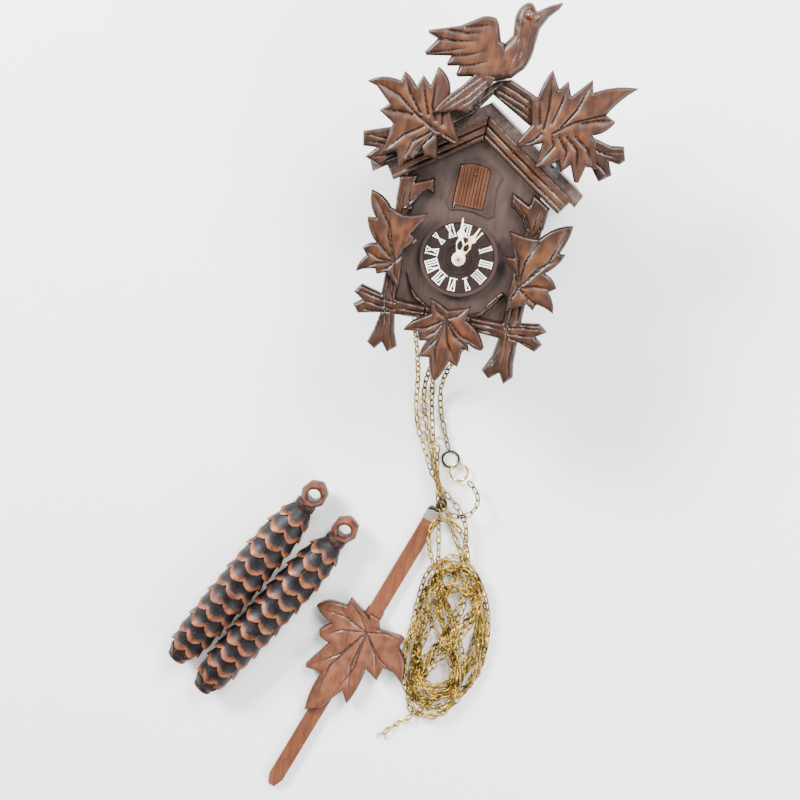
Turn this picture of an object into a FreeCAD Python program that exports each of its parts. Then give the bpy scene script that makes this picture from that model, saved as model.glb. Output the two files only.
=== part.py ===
import FreeCAD, Part
import os
from math import acos, atan2, cos, degrees, hypot, pi, radians, sin, sqrt, tan

# Cuckoo clock lying on its back, with its pendulum, two cone weights and two chains beside it.
# Millimetres. The origin is where the axis of the hands meets the back plane.
# +X is to the right of the dial, +Y up to the roof ridge and +Z out of the face.

V = FreeCAD.Vector

# ---- driving dimensions -------------------------------------------------------------------
CASE_HALF = 38.0          # half the width of the case
CASE_BOTTOM = -33.0
CASE_DEPTH = 86.0         # back plane to the front of the front panel
WALL = 4.0
PANEL = 4.0
BACK = 3.0                # thickness of the back panel
GAP = 0.3                 # gap between pieces that move past each other

ROOF_SLOPE = {-1: 35.2, 1: 33.2}     # degrees below level, left and right
ROOF_APEX = 88.0          # ridge height at the roof's outer face
ROOF_THICK = 8.0
ROOF_REACH = 61.0         # how far each board reaches sideways
ROOF_FRONT = 88.0
TRIM_APEX = 81.0
TRIM_WIDTH = 11.2
TRIM_REACH = {-1: 51.5, 1: 55.5}
TRIM_FRONT = 91.5

CARVE_BACK = 86.0         # front carvings start on the panel
BRANCH_THICK = 6.5
LEAF_THICK = 5.5
CROWN_BACK = 91.8
CROWN_BRANCH_THICK = 5.0
CROWN_LEAF_THICK = 6.0
BIRD_BACK = 93.0
BIRD_THICK = 12.0

DIAL_R = 21.6
DIAL_THICK = 3.0
DIAL_TURN = 2.0           # the dial sits a little clockwise
NUMERAL_IN = 12.3
NUMERAL_OUT = 19.2
MINUTE_LENGTH = 23.2
HOUR_LENGTH = 20.9
MINUTE_ANGLE = -5.3       # degrees clockwise from straight up
HOUR_ANGLE = 23.6

DOOR_X = -0.8
DOOR_HALF = 8.2
DOOR_BOTTOM = 28.8
DOOR_SHOULDER = 51.3
DOOR_CREST = 53.2
DOOR_THICK = 2.5

PLATE_BACK = 34.0         # rear face of the rear movement plate
PLATE_FRONT = 66.0        # rear face of the front movement plate
PLATE_THICK = 1.2
ARBOR_R = 0.8
RUN = 0.05                # radial running clearance

SPROCKET = (13.01, -13.01)
SPROCKET_Z = 47.0
SPROCKET_R = 7.0
CHAIN_D = 3.4             # across a chain, link corners let into one another

STICK_TOP = (17.4, -180.0)
STICK_TURN = 18.1         # degrees from straight down, towards -X
STICK_LENGTH = 222.0
STICK_WIDTH = 10.2
STICK_THICK = 3.2
STICK_Z = 1.2

WEIGHT_R = 13.8
WEIGHT_LENGTH = 142.0     # cone only, up to the neck


# ---- helpers ------------------------------------------------------------------------------
def box(x0, x1, y0, y1, z0, z1):
    return Part.makeBox(x1 - x0, y1 - y0, z1 - z0, V(x0, y0, z0))


def rod(x, y, z0, z1, r):
    return Part.makeCylinder(r, z1 - z0, V(x, y, z0))


def tube(x, y, z0, z1, outer, inner):
    return rod(x, y, z0, z1, outer).cut(rod(x, y, z0 - 1, z1 + 1, inner))


def turning(points):
    """Twice the signed area: positive when the points go anticlockwise."""
    pairs = zip(points, points[1:] + points[:1])
    return sum(a[0] * b[1] - b[0] * a[1] for a, b in pairs)


def outline_face(points, z):
    """A closed outline. A third number is how far the edge that starts there bows out,
    as a share of its length."""
    side = 1 if turning(points) > 0 else -1
    edges = []
    for p, q in zip(points, points[1:] + points[:1]):
        start = V(p[0], p[1], z)
        end = V(q[0], q[1], z)
        bow = p[2] if len(p) > 2 else 0
        if bow:
            out = V(q[1] - p[1], p[0] - q[0], 0) * (side * bow)
            edges.append(Part.Arc(start, (start + end) * 0.5 + out, end).toShape())
        else:
            edges.append(Part.makeLine(start, end))
    return Part.Face(Part.Wire(edges))


def plate(points, z0, z1):
    return outline_face(points, z0).extrude(V(0, 0, z1 - z0))


def fuse(shapes):
    first = shapes[0]
    return first.fuse(shapes[1:]).removeSplitter() if len(shapes) > 1 else first


def group(shapes):
    return Part.makeCompound(shapes)


def turned(shape, x, y, angle):
    out = shape.copy()
    out.rotate(V(x, y, 0), V(0, 0, 1), angle)
    return out


def polar(x, y, r, angle):
    return (x + r * cos(radians(angle)), y + r * sin(radians(angle)))


def gear(x, y, z0, z1, teeth, module, phase, bore):
    """A wheel with straight-sided teeth. phase is the angle of one tooth, in radians."""
    pitch = teeth * module / 2
    tip = pitch + 0.75 * module
    root = pitch - 1.05 * module
    step = 2 * pi / teeth
    corners = []
    for k in range(teeth):
        for r, share in ((root, -0.26), (tip, -0.10), (tip, 0.10), (root, 0.26)):
            a = phase + (k + share) * step
            corners.append((x + r * cos(a), y + r * sin(a)))
    return plate(corners, z0, z1).cut(rod(x, y, z0 - 1, z1 + 1, bore))


def mesh_phase(teeth, phase, other_teeth, line):
    """The other wheel's phase, so that its gap meets a tooth along the line of centres."""
    share = 0.5 - teeth * (line - phase) / (2 * pi)
    return line + pi - 2 * pi / other_teeth * share


def spoked(wheel, x, y, z0, z1, rim, hub, spokes, width):
    """Cuts the windows between the spokes out of a wheel."""
    windows = tube(x, y, z0 - 1, z1 + 1, rim, hub)
    bars = []
    for k in range(spokes):
        bar = box(x, x + rim + 1, y - width / 2, y + width / 2, z0 - 2, z1 + 2)
        bars.append(turned(bar, x, y, 360 * k / spokes))
    return wheel.cut(windows.cut(fuse(bars)))


def swing(p, q, r):
    """How far the route turns at q, in radians."""
    a = (q - p).normalize()
    b = (r - q).normalize()
    return acos(max(-1, min(1, a.dot(b))))


def cord(name, points, d):
    """A round cord along straight runs joined by arcs as large as the runs allow."""
    pts = [V(*p) for p in points]
    edges = []
    radii = []
    length = 0
    last = pts[0]
    for p, q, r in zip(pts, pts[1:], pts[2:]):
        half = swing(p, q, r) / 2
        cut = 0.45 * min((q - p).Length, (r - q).Length)
        radius = cut / tan(half)
        into = q + (p - q).normalize() * cut
        out = q + (r - q).normalize() * cut
        mid = ((into + out) * 0.5 - q).normalize()
        middle = q + mid * (radius / cos(half) - radius)
        edges.append(Part.LineSegment(last, into).toShape())
        edges.append(Part.Arc(into, middle, out).toShape())
        length += (into - last).Length + 2 * half * radius
        radii.append(radius)
        last = out
    edges.append(Part.LineSegment(last, pts[-1]).toShape())
    length += (pts[-1] - last).Length
    path = Part.Wire(edges)
    start = Part.Wire(Part.makeCircle(d / 2, pts[0], pts[1] - pts[0]))
    solid = path.makePipeShell([start], True, True)
    share = solid.Volume / (pi * d * d / 4 * length)
    print(name, "length", round(length, 1), "volume share", round(share, 4),
          "radii", " ".join(str(round(r, 1)) for r in radii))
    return solid


def save(name, shape):
    if not shape.isValid():
        print(name, "is not valid")
    for solid in shape.Solids:
        if solid.Volume < 0.05:
            print(name, "has a solid of", solid.Volume)
    shape.exportStep("parts/" + name + ".step")


def roof_point(side, along, out, apex):
    """A point on one roof slope: along it from the ridge, and out from its outer line."""
    a = radians(ROOF_SLOPE[side])
    x = side * (along * cos(a) + out * sin(a))
    return (x, apex - along * sin(a) + out * cos(a))


def slope_y(side, x, apex):
    """Height of the slope line from this apex at a distance x from the middle."""
    return apex - abs(x) * tan(radians(ROOF_SLOPE[side]))


def under_roof(side):
    """Apex of the line along the underside of a roof board."""
    return ROOF_APEX - ROOF_THICK / cos(radians(ROOF_SLOPE[side]))


# ---- case ---------------------------------------------------------------------------------
def door_outline(spread):
    """The arched doorway, spread outwards by a gap."""
    half = DOOR_HALF + spread
    rise = (DOOR_CREST - DOOR_SHOULDER) / (2 * half)
    return [
        (DOOR_X - half, DOOR_BOTTOM - spread),
        (DOOR_X + half, DOOR_BOTTOM - spread),
        (DOOR_X + half, DOOR_SHOULDER + spread, rise),
        (DOOR_X - half, DOOR_SHOULDER + spread),
    ]


def make_front_panel():
    apex = min(under_roof(-1), under_roof(1)) - 0.02
    top = [
        (CASE_HALF, slope_y(1, CASE_HALF, under_roof(1))),
        (0, apex),
        (-CASE_HALF, slope_y(-1, CASE_HALF, under_roof(-1))),
    ]
    outline = [(-CASE_HALF, CASE_BOTTOM), (CASE_HALF, CASE_BOTTOM)] + top
    panel = plate(outline, CASE_DEPTH - PANEL, CASE_DEPTH)
    doorway = plate(door_outline(0.35), CASE_DEPTH - PANEL - 1, CASE_DEPTH + 1)
    hinge_room = box(-10.2, -8.4, DOOR_BOTTOM - 2, DOOR_SHOULDER, CASE_DEPTH - 1.0, CASE_DEPTH + 1)
    return panel.cut(doorway).cut(rod(0, 0, 70, 90, 5)).cut(hinge_room)


def make_side_walls():
    walls = []
    for side in (-1, 1):
        x0, x1 = sorted((side * CASE_HALF, side * (CASE_HALF - WALL)))
        top = slope_y(side, CASE_HALF, under_roof(side))
        wall = box(x0, x1, CASE_BOTTOM, top, 0, CASE_DEPTH - PANEL)
        sound = Part.makeCylinder(6, 60, V(side * 20, 20, 19), V(side, 0, 0))
        walls.append(wall.cut(sound))
    return group(walls)


CHAIN_HOLES = [(-20.01, "time"), (-6.01, "time"), (6.01, "strike"), (20.01, "strike")]


def make_bottom_board():
    inner = CASE_HALF - WALL
    board = box(-inner, inner, CASE_BOTTOM, CASE_BOTTOM + WALL, BACK + GAP, CASE_DEPTH - PANEL)
    for x, train in CHAIN_HOLES:
        hole = Part.makeCylinder(2.9, 20, V(x, CASE_BOTTOM - 5, SPROCKET_Z), V(0, 1, 0))
        board = board.cut(hole)
    slot = box(-15, 6, CASE_BOTTOM - 1, CASE_BOTTOM + WALL + 1, 15, 29)
    return board.cut(slot)


COVER_HALF = 20.0
COVER_LOW = 10.0
COVER_HIGH = 46.0


def make_back_panel():
    inner = CASE_HALF - WALL
    panel = box(-inner, inner, CASE_BOTTOM, 50, 0, BACK)
    opening = box(-COVER_HALF + 2, COVER_HALF - 2, COVER_LOW + 2, 60, -1, BACK + 1)
    groove = box(-COVER_HALF - GAP, COVER_HALF + GAP, COVER_LOW - GAP, 60, 0.6, 2.1)
    return panel.cut(opening).cut(groove)


def make_service_cover():
    cover = box(-COVER_HALF, COVER_HALF, COVER_LOW, COVER_HIGH, 0.75, 1.95)
    notch = rod(0, COVER_HIGH, 0, 3, 6)
    return cover.cut(notch)


def make_roof_boards():
    boards = []
    for side in (-1, 1):
        a = radians(ROOF_SLOPE[side])
        ends = []
        for apex in (ROOF_APEX, under_roof(side)):
            ends.append((side * ROOF_REACH, slope_y(side, ROOF_REACH, apex)))
        outer = (0, ROOF_APEX)
        inner = (0, under_roof(side))
        low = (ends[1][0] - side * 4 * cos(a), ends[1][1] + 4 * sin(a))
        boards.append(plate([inner, low, ends[0], outer], BACK + GAP, ROOF_FRONT))
    return group(boards)


def make_roof_trims():
    """Front boards under the roof edge, each with a step along its length."""
    trims = []
    for side in (-1, 1):
        a = radians(ROOF_SLOPE[side])
        drop = TRIM_WIDTH / cos(a)
        far = TRIM_REACH[side]
        outer = (side * far, slope_y(side, far, TRIM_APEX))
        inner = (side * (far - 6.3), slope_y(side, far - 6.3, TRIM_APEX - drop))
        low = [(0, TRIM_APEX - drop), inner, outer, (0, TRIM_APEX)]
        step = 4.6 / cos(a)
        high = [
            (0, TRIM_APEX - drop),
            inner,
            (side * (far - 2.5), slope_y(side, far - 2.5, TRIM_APEX - step)),
            (0, TRIM_APEX - step),
        ]
        base = plate(low, ROOF_FRONT, TRIM_FRONT - 1.2)
        face = plate(high, TRIM_FRONT - 1.2, TRIM_FRONT)
        filler = [
            (0, TRIM_APEX - drop),
            inner,
            (side * (far - 7), slope_y(side, far - 7, under_roof(side))),
            (0, under_roof(side)),
        ]
        trims.append(fuse([base, face, plate(filler, CASE_DEPTH, ROOF_FRONT)]))
    return group(trims)


def make_roof_plates():
    """The hanger plate behind the ridge, and the small plate under the crown's right leaf."""
    hanger = box(-11, 11, 63, 77, BACK - 0.9, BACK + GAP).cut(rod(0, 70, 0, 9, 3.0))
    crown = plate([(35.5, 60.5), (44.5, 54.5), (45.8, 62), (42, 67.5)], 88.0, 89.0)
    crown = crown.cut(rod(41.0, 61.2, 80, 99, 1.5))
    return group([hanger, crown])


def make_door_surround():
    left = [(-10.6, 51.6), (-11.5, 43), (-12.6, 33), (-13.4, 29)]
    right = [(11.3, 24.6), (14.2, 27), (13.3, 33), (12.4, 42), (14.4, 49), (11.5, 52.3)]
    outline = [(-11, 25.4, -0.08)] + right + [(1, 56.8)] + left
    shield = plate(outline, CASE_DEPTH, CASE_DEPTH + 1.0)
    doorway = plate(door_outline(0.35), 80, 99)
    hinge_room = box(-10.2, -8, DOOR_BOTTOM - 2.2, DOOR_SHOULDER + 0.6, 80, 99)
    return shield.cut(doorway).cut(hinge_room).cut(rod(0, 0, 80, 99, DIAL_R + 1.9))


# ---- carvings -----------------------------------------------------------------------------
LEAF_LEFT = [
    (-55.6, 28, 0.1), (-43, 20.6), (-36, 18.2), (-30.8, 18.6), (-22.2, 21.8), (-23, 17.5),
    (-29, 8.5), (-24.3, 5.8), (-26, 3.2), (-31.5, -1.2), (-30.4, -12), (-29.8, -24), (-38, -15.6),
    (-43.8, -17.9), (-45, -15.2, -0.08), (-55.6, -19, 0.1), (-51.4, -8.6), (-54.3, -4.8, 0.15),
    (-47, -0.8, 0.08), (-55, 12.7), (-50.2, 13.2, 0.1),
]
LEAF_RIGHT = [
    (59, 31.1, 0.1), (42, 20), (33, 20.2), (24.2, 21.4), (28.5, 13), (30.5, 7.2), (24.3, 6.8),
    (26.5, 4), (32.3, -1.2), (31.6, -12), (32, -23.9), (43, -17.2), (47.2, -20), (48.4, -16.3, -0.06),
    (58.8, -19.5, 0.1), (53.4, -8), (57.6, -5, 0.12), (49, 2, 0.08), (58.3, 14.6), (54.6, 14.4, 0.06),
]
LEAF_BOTTOM = [
    (0.8, -72.2, 0.06), (7, -58.8), (12, -60.9, 0.06), (12.4, -49.3), (16.9, -50.9), (15, -45.9, 0.1),
    (23.6, -48.6), (24.6, -46.8, 0.1), (11.6, -33.2), (12.7, -24.6), (10.4, -26.6), (0, -29.8, 0.05),
    (-11, -25.2), (-8.8, -33.5), (-17.8, -39.4, 0.05), (-22.4, -46.3), (-14.4, -45.3), (-12.2, -50.4),
    (-8, -49.4, 0.06), (-10.9, -59.6), (-4.9, -58.7, 0.06),
]
STUB_LEFT = [
    (-41.8, 38.5), (-41.6, 25), (-38, 19.4), (-31.3, 20.8, -0.12), (-25, 33.3), (-20.8, 32.4),
    (-22.3, 41.6), (-32.6, 37), (-31.4, 41.5),
]
STUB_RIGHT = [
    (44.2, 37.5), (43.6, 25.4), (37.5, 18, 0.05), (29.5, 30), (22.6, 34.4), (22, 42.3),
    (32.6, 37.2), (33.8, 43.8),
]
CROSS_LEFT = [
    (-39.6, -14), (-30.3, -14), (-30.4, -30.4), (-12, -31), (-12, -38.6), (-29.4, -39.4),
    (-27.4, -50), (-24.5, -57.6), (-29.5, -62), (-33.4, -56.8), (-37, -61.6), (-42, -58.4),
    (-39.4, -50), (-37.6, -40), (-50.4, -43.1), (-54.1, -38.4), (-49.4, -34.8), (-54.9, -31.4),
    (-51.5, -26.2), (-39.2, -29.2),
]
CROSS_RIGHT = [
    (42.8, -16.5), (42.6, -29.4), (53, -27.7), (58.4, -31.4), (52.4, -35.3), (57.1, -39),
    (53.6, -44.1), (43, -40.6), (43.4, -53), (44.8, -61.2), (40, -66.3), (36.5, -60.3), (31, -65.1),
    (26.3, -60.8), (30.2, -52), (31.8, -40.6), (13, -39.6), (13, -31.4), (32, -31), (31.8, -16.5),
]
TENDRIL_LEFT = [
    (-27.3, -14.2, -0.06), (-18.8, -26.6), (-8, -33), (-8, -35.5), (-20.8, -28.6, 0.02),
]
TENDRIL_RIGHT = [
    (28.4, -14.2, 0.06), (19, -28), (10, -31.8), (10, -35), (18.6, -31.6), (30.3, -16),
]
CROWN_LEAF_RIGHT = [
    (19, 67.2), (31.8, 72.2), (30.8, 58.4), (36, 59.6), (42.6, 64.9), (45.2, 58.8), (49.6, 64),
    (53.6, 55.2), (56, 55.2), (58, 64.6), (63.9, 64.6), (60.2, 79.5), (58, 82, 0.12), (68.4, 91.6),
    (62.8, 94, -0.05), (76.9, 111.4, 0.07), (53, 104.4), (51.3, 111.2), (41.8, 100.2), (38.6, 107.8),
    (34.6, 102.6), (29, 112, 0.05), (24, 96.6), (20.4, 95), (24, 81), (18.2, 70.6),
]
CROWN_LEAF_LEFT = [
    (-18, 73), (-12.4, 62.8), (-16, 61.8), (-25.4, 65), (-22.6, 52), (-30, 52.4), (-33, 56.5),
    (-36, 49.6), (-38.5, 50), (-42.4, 43.6), (-46, 52), (-53.6, 49.4), (-51, 66.6), (-59.7, 72),
    (-55, 76.5), (-63.5, 84.4), (-69.3, 86, 0.12), (-51.2, 90), (-50, 95.4, 0.06), (-42, 88.8),
    (-39.6, 95.4), (-34.6, 90.8), (-32.4, 101.4, 0.14), (-23, 88.5), (-21, 79),
]
CROWN_ARM_RIGHT = [
    (0, 92.4), (22, 80.6), (46, 71), (61.5, 64.6), (67, 57.8), (73.4, 62.8), (70.2, 70), (76, 69.2),
    (78.9, 72), (76.4, 79.6), (69, 78.6), (60, 80.8), (40, 88.5), (24, 96.2), (8, 102.6), (0.5, 100.6),
]
CROWN_ARM_LEFT = [
    (8, 102.6), (0.5, 100.6), (-5.4, 95), (-10, 84), (-24, 80), (-40, 71), (-51.2, 64.6), (-66.8, 59),
    (-65.2, 50.8), (-57.6, 51.4), (-63.1, 45.2), (-54.6, 41.8), (-46, 50), (-30, 60), (-16, 66),
    (-17.6, 73), (-9, 79.6), (0, 92.4),
]
BIRD = [
    (26.8, 146.6), (25.4, 143.6), (20.8, 138.4), (17.4, 131.5), (16.7, 122, 0.06), (13.8, 109.4),
    (7.8, 103), (-1, 99.5, -0.05), (-8, 87), (-10.2, 82), (-13.5, 80), (-30.5, 76.4), (-23, 88.5),
    (-13.6, 97.4), (-13.4, 99.8), (-21, 98), (-22.4, 99.2), (-21.4, 103.9), (-27.6, 102.6),
    (-28.5, 103.8), (-26.8, 108.2), (-40.4, 105.9), (-41.4, 107.6), (-36, 115.7), (-41.2, 117.5),
    (-41.9, 119.2), (-25, 125), (-15, 131.6, 0.1), (-6.6, 132.4), (-4.6, 129.4), (-1.8, 121.2),
    (0.4, 120.4), (3.6, 125.4), (2.8, 134.6, 0.12), (7.6, 143.8, 0.1), (11, 143.8), (13.8, 140.4),
    (20, 144.6), (26, 147.4),
]
BIRD_TAIL = [(-13, 98), (-1, 99.5), (-8, 87), (-10.2, 82), (-13.5, 80), (-30.5, 76.4), (-23, 88.5)]


def make_branch_frame():
    top = CARVE_BACK + BRANCH_THICK
    bar = plate([(-13, -38.8), (14, -40.2), (14, -31), (-13, -30.6)], CARVE_BACK, top)
    crosses = [plate(CROSS_LEFT, CARVE_BACK, top), plate(CROSS_RIGHT, CARVE_BACK, top)]
    spines = [
        plate([(-41.4, 26), (-33, 24), (-31, -15), (-39.6, -15)], CARVE_BACK, top),
        plate([(42.8, 26), (33.5, 24), (32, -18), (42.6, -18)], CARVE_BACK, top),
    ]
    stubs = [plate(STUB_LEFT, CARVE_BACK, top), plate(STUB_RIGHT, CARVE_BACK, top)]
    tendrils = [plate(TENDRIL_LEFT, CARVE_BACK, top - 2), plate(TENDRIL_RIGHT, CARVE_BACK, top - 2)]
    frame = fuse([bar] + crosses + spines + stubs + tendrils)
    for side in (-1, 1):
        trim_room = [
            (0, slope_y(side, 0, TRIM_APEX) - TRIM_WIDTH / cos(radians(ROOF_SLOPE[side])) - 0.02),
            (side * 60, slope_y(side, 60, TRIM_APEX) - TRIM_WIDTH / cos(radians(ROOF_SLOPE[side])) - 0.02),
            (side * 60, 90),
            (0, 90),
        ]
        frame = frame.cut(plate(trim_room, CARVE_BACK - 1, top + 1))
    return frame


def carved_leaf(outline):
    z = CARVE_BACK + BRANCH_THICK
    return plate(outline, z, z + LEAF_THICK)


def crown_leaf(outline):
    z = CROWN_BACK + CROWN_BRANCH_THICK
    return plate(outline, z, z + CROWN_LEAF_THICK)


def make_crown_branches():
    z = CROWN_BACK
    arms = [plate(a, z, z + CROWN_BRANCH_THICK) for a in (CROWN_ARM_RIGHT, CROWN_ARM_LEFT)]
    spacer = plate([(-23, 66), (-18.4, 69), (-18.4, 74), (-23, 71.5)], ROOF_FRONT, z)
    return fuse(arms + [spacer])


def make_crown_bird():
    body = plate(BIRD, BIRD_BACK, BIRD_BACK + BIRD_THICK)
    leaf_front = CROWN_BACK + CROWN_BRANCH_THICK + CROWN_LEAF_THICK
    under_tail = box(-45, -9, 70, 101.6, 80, leaf_front)
    near_branch = box(-25, 30, 70, 103.6, 80, CROWN_BACK + CROWN_BRANCH_THICK)
    return body.cut(under_tail).cut(near_branch)


def make_bird_eye():
    eye = Part.makeSphere(2.1, V(10.5, 137.0, BIRD_BACK + BIRD_THICK))
    return eye.common(box(0, 20, 130, 145, BIRD_BACK + BIRD_THICK, 120))


# ---- dial and hands -----------------------------------------------------------------------
DIAL_FRONT = CASE_DEPTH + DIAL_THICK


def make_dial():
    disc = rod(0, 0, CASE_DEPTH, DIAL_FRONT, DIAL_R - 1.5)
    ring = tube(0, 0, CASE_DEPTH, DIAL_FRONT + 1.0, DIAL_R + 0.6, DIAL_R - 1.5)
    inner = tube(0, 0, DIAL_FRONT, DIAL_FRONT + 0.7, 9.3, 7.6)
    return fuse([disc, ring, inner]).cut(rod(0, 0, 80, 99, 4.2))


NUMERALS = ["XII", "I", "II", "III", "IIII", "V", "VI", "VII", "VIII", "IX", "X", "XI"]
STROKE = 0.75             # width of a numeral's thin stroke
LETTER = {"I": 1.45, "V": 3.3, "X": 3.3}


def bar(x0, y0, x1, y1, width, z0, z1):
    """A flat bar from one point to another."""
    length = hypot(x1 - x0, y1 - y0)
    piece = box(0, length, -width / 2, width / 2, z0, z1)
    piece.rotate(V(0, 0, 0), V(0, 0, 1), degrees(atan2(y1 - y0, x1 - x0)))
    piece.translate(V(x0, y0, 0))
    return piece


def make_numerals():
    z0 = DIAL_FRONT
    z1 = DIAL_FRONT + 0.25
    height = NUMERAL_OUT - NUMERAL_IN
    marks = []
    for hour, word in enumerate(NUMERALS):
        total = sum(LETTER[c] for c in word)
        x = -total / 2
        bars = []
        for c in word:
            w = LETTER[c]
            mid = x + w / 2
            low, high = NUMERAL_IN, NUMERAL_OUT
            if c == "I":
                bars.append(bar(mid, low, mid, high, STROKE, z0, z1))
            elif c == "V":
                bars.append(bar(x + 0.5, high, mid, low, STROKE, z0, z1))
                bars.append(bar(x + w - 0.5, high, mid, low, STROKE, z0, z1))
            else:
                bars.append(bar(x + 0.5, high, x + w - 0.5, low, STROKE, z0, z1))
                bars.append(bar(x + w - 0.5, high, x + 0.5, low, STROKE, z0, z1))
            x += w
        for y in (NUMERAL_IN, NUMERAL_OUT):
            bars.append(bar(-total / 2 + 0.1, y, total / 2 - 0.1, y, 0.5, z0, z1))
        numeral = fuse(bars)
        marks.append(turned(numeral, 0, 0, -30 * hour - DIAL_TURN))
    return group(marks)


def hand_shape(length, z0, z1, hub, hole, angle):
    """A pierced hand: round hub, two lobes with a window, and a spear."""
    lobe = 0.40 * length
    waist = 0.52 * length
    head = 0.62 * length
    half = [
        (1.5, 2.6, 0.18), (2.3, lobe, 0.12), (1.1, waist, -0.1), (2.5, head, 0.16),
        (0.75, head + 0.12 * length), (0.35, length),
    ]
    left = [(-x, y) for x, y in [(p[0], p[1]) for p in half]][::-1]
    spear = plate([(x, y) for x, y, *rest in half] + left, z0, z1)
    window = plate([(0.9, 5.2, 0.2), (0.3, lobe + 1.4), (-0.3, lobe + 1.4, 0.2), (-0.9, 5.2)],
                   z0 - 1, z1 + 1)
    hand = fuse([spear.cut(window), rod(0, 0, z0, z1, hub)])
    return turned(hand.cut(rod(0, 0, z0 - 1, z1 + 1, hole)), 0, 0, -angle)


def make_hour_hand():
    return hand_shape(HOUR_LENGTH, 93.4, 94.3, 3.9, 2.62, HOUR_ANGLE)


def make_minute_hand():
    return hand_shape(MINUTE_LENGTH, 96.6, 97.5, 3.7, 1.0, MINUTE_ANGLE)


def make_hand_nut():
    nut = Part.makeCylinder(2.5, 1.6, V(0, 0, 97.5)).fuse(Part.makeCylinder(1.7, 0.6, V(0, 0, 99.1)))
    return nut.cut(rod(0, 0, 97, 103, 1.0))


# ---- movement -----------------------------------------------------------------------------
GREAT = (72, 0.4)
CENTRE_PINION = (20, 0.4)
CENTRE = (60, 0.35)
THIRD_PINION = (10, 0.35)
THIRD = (56, 0.3)
ESCAPE_PINION = (8, 0.3)
PIN_PINION = (16, 0.4)
PIN = (60, 0.35)
FLY_PINION = (8, 0.35)
CANNON = (12, 0.4)        # on the minute arbor, in front of the front plate
MINUTE_WHEEL = (36, 0.4)
MINUTE_PINION = (10, 0.4)
HOUR_WHEEL = (40, 0.384)
MOTION_Z = 68.6


def distance(one, other):
    return (one[0] * one[1] + other[0] * other[1]) / 2


TIME_AT = (-SPROCKET[0], SPROCKET[1])
STRIKE_AT = SPROCKET
THIRD_AT = polar(0, 0, distance(CENTRE, THIRD_PINION) + 0.05, 120)
ESCAPE_AT = polar(*THIRD_AT, distance(THIRD, ESCAPE_PINION) + 0.05, 80)
ANCHOR_AT = (ESCAPE_AT[0], ESCAPE_AT[1] + 7.6)
PIN_AT = polar(*STRIKE_AT, distance(GREAT, PIN_PINION) + 0.05, 83.5)
FLY_AT = polar(*PIN_AT, distance(PIN, FLY_PINION) + 0.05, 104.6)
MINUTE_AT = polar(0, 0, distance(CANNON, MINUTE_WHEEL) + 0.05, -60)
HAMMER_AT = (16.0, -25.0)
ESCAPE_R = 6.2
PILLARS = [(-25, -26), (25, -26), (-24.5, 27.5), (24.5, 27.5)]


def line(a, b):
    return atan2(b[1] - a[1], b[0] - a[0])


def arbor(at, z0, z1, r=ARBOR_R):
    return rod(at[0], at[1], z0, z1, r)


def make_movement_frame():
    rear = box(-27.5, 27.5, -28.6, 30, PLATE_BACK, PLATE_BACK + PLATE_THICK)
    front = box(-27.5, 27.5, -28.6, 30, PLATE_FRONT, PLATE_FRONT + PLATE_THICK)
    pivots = [TIME_AT, STRIKE_AT, THIRD_AT, ESCAPE_AT, ANCHOR_AT, PIN_AT, FLY_AT]
    for at in pivots:
        rear = rear.cut(arbor(at, 30, 40, ARBOR_R + RUN))
        front = front.cut(arbor(at, 60, 70, ARBOR_R + RUN))
    rear = rear.cut(arbor((0, 0), 30, 40, 1.5 + RUN)).cut(arbor(HAMMER_AT, 30, 40, ARBOR_R + RUN))
    front = front.cut(arbor((0, 0), 60, 70, 1.5 + RUN))
    pillars = []
    for x, y in PILLARS:
        pillar = rod(x, y, PLATE_BACK + PLATE_THICK, PLATE_FRONT, 2)
        foot = rod(x, y, PLATE_FRONT + PLATE_THICK, CASE_DEPTH - PANEL, 2.4)
        pillars.append(pillar)
        pillars.append(foot)
    ear = box(DOOR_X - 2.5, DOOR_X + 2.5, 29, 34, PLATE_FRONT, PLATE_FRONT + PLATE_THICK)
    ear = ear.cut(rod(DOOR_X, 31.8, 60, 70, 0.6 + RUN))
    post = rod(MINUTE_AT[0], MINUTE_AT[1], PLATE_FRONT + PLATE_THICK, MOTION_Z + 3.2, ARBOR_R)
    return fuse([rear, front, ear, post] + pillars)


def revolved(at, profile):
    """A turned piece: (radius, height) pairs about an axis along Z."""
    edges = []
    for a, b in zip(profile, profile[1:] + profile[:1]):
        edges.append(Part.makeLine(V(a[0], 0, a[1]), V(b[0], 0, b[1])))
    solid = Part.Face(Part.Wire(edges)).revolve(V(0, 0, 0), V(0, 0, 1), 360)
    solid.translate(V(at[0], at[1], 0))
    return solid


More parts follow.
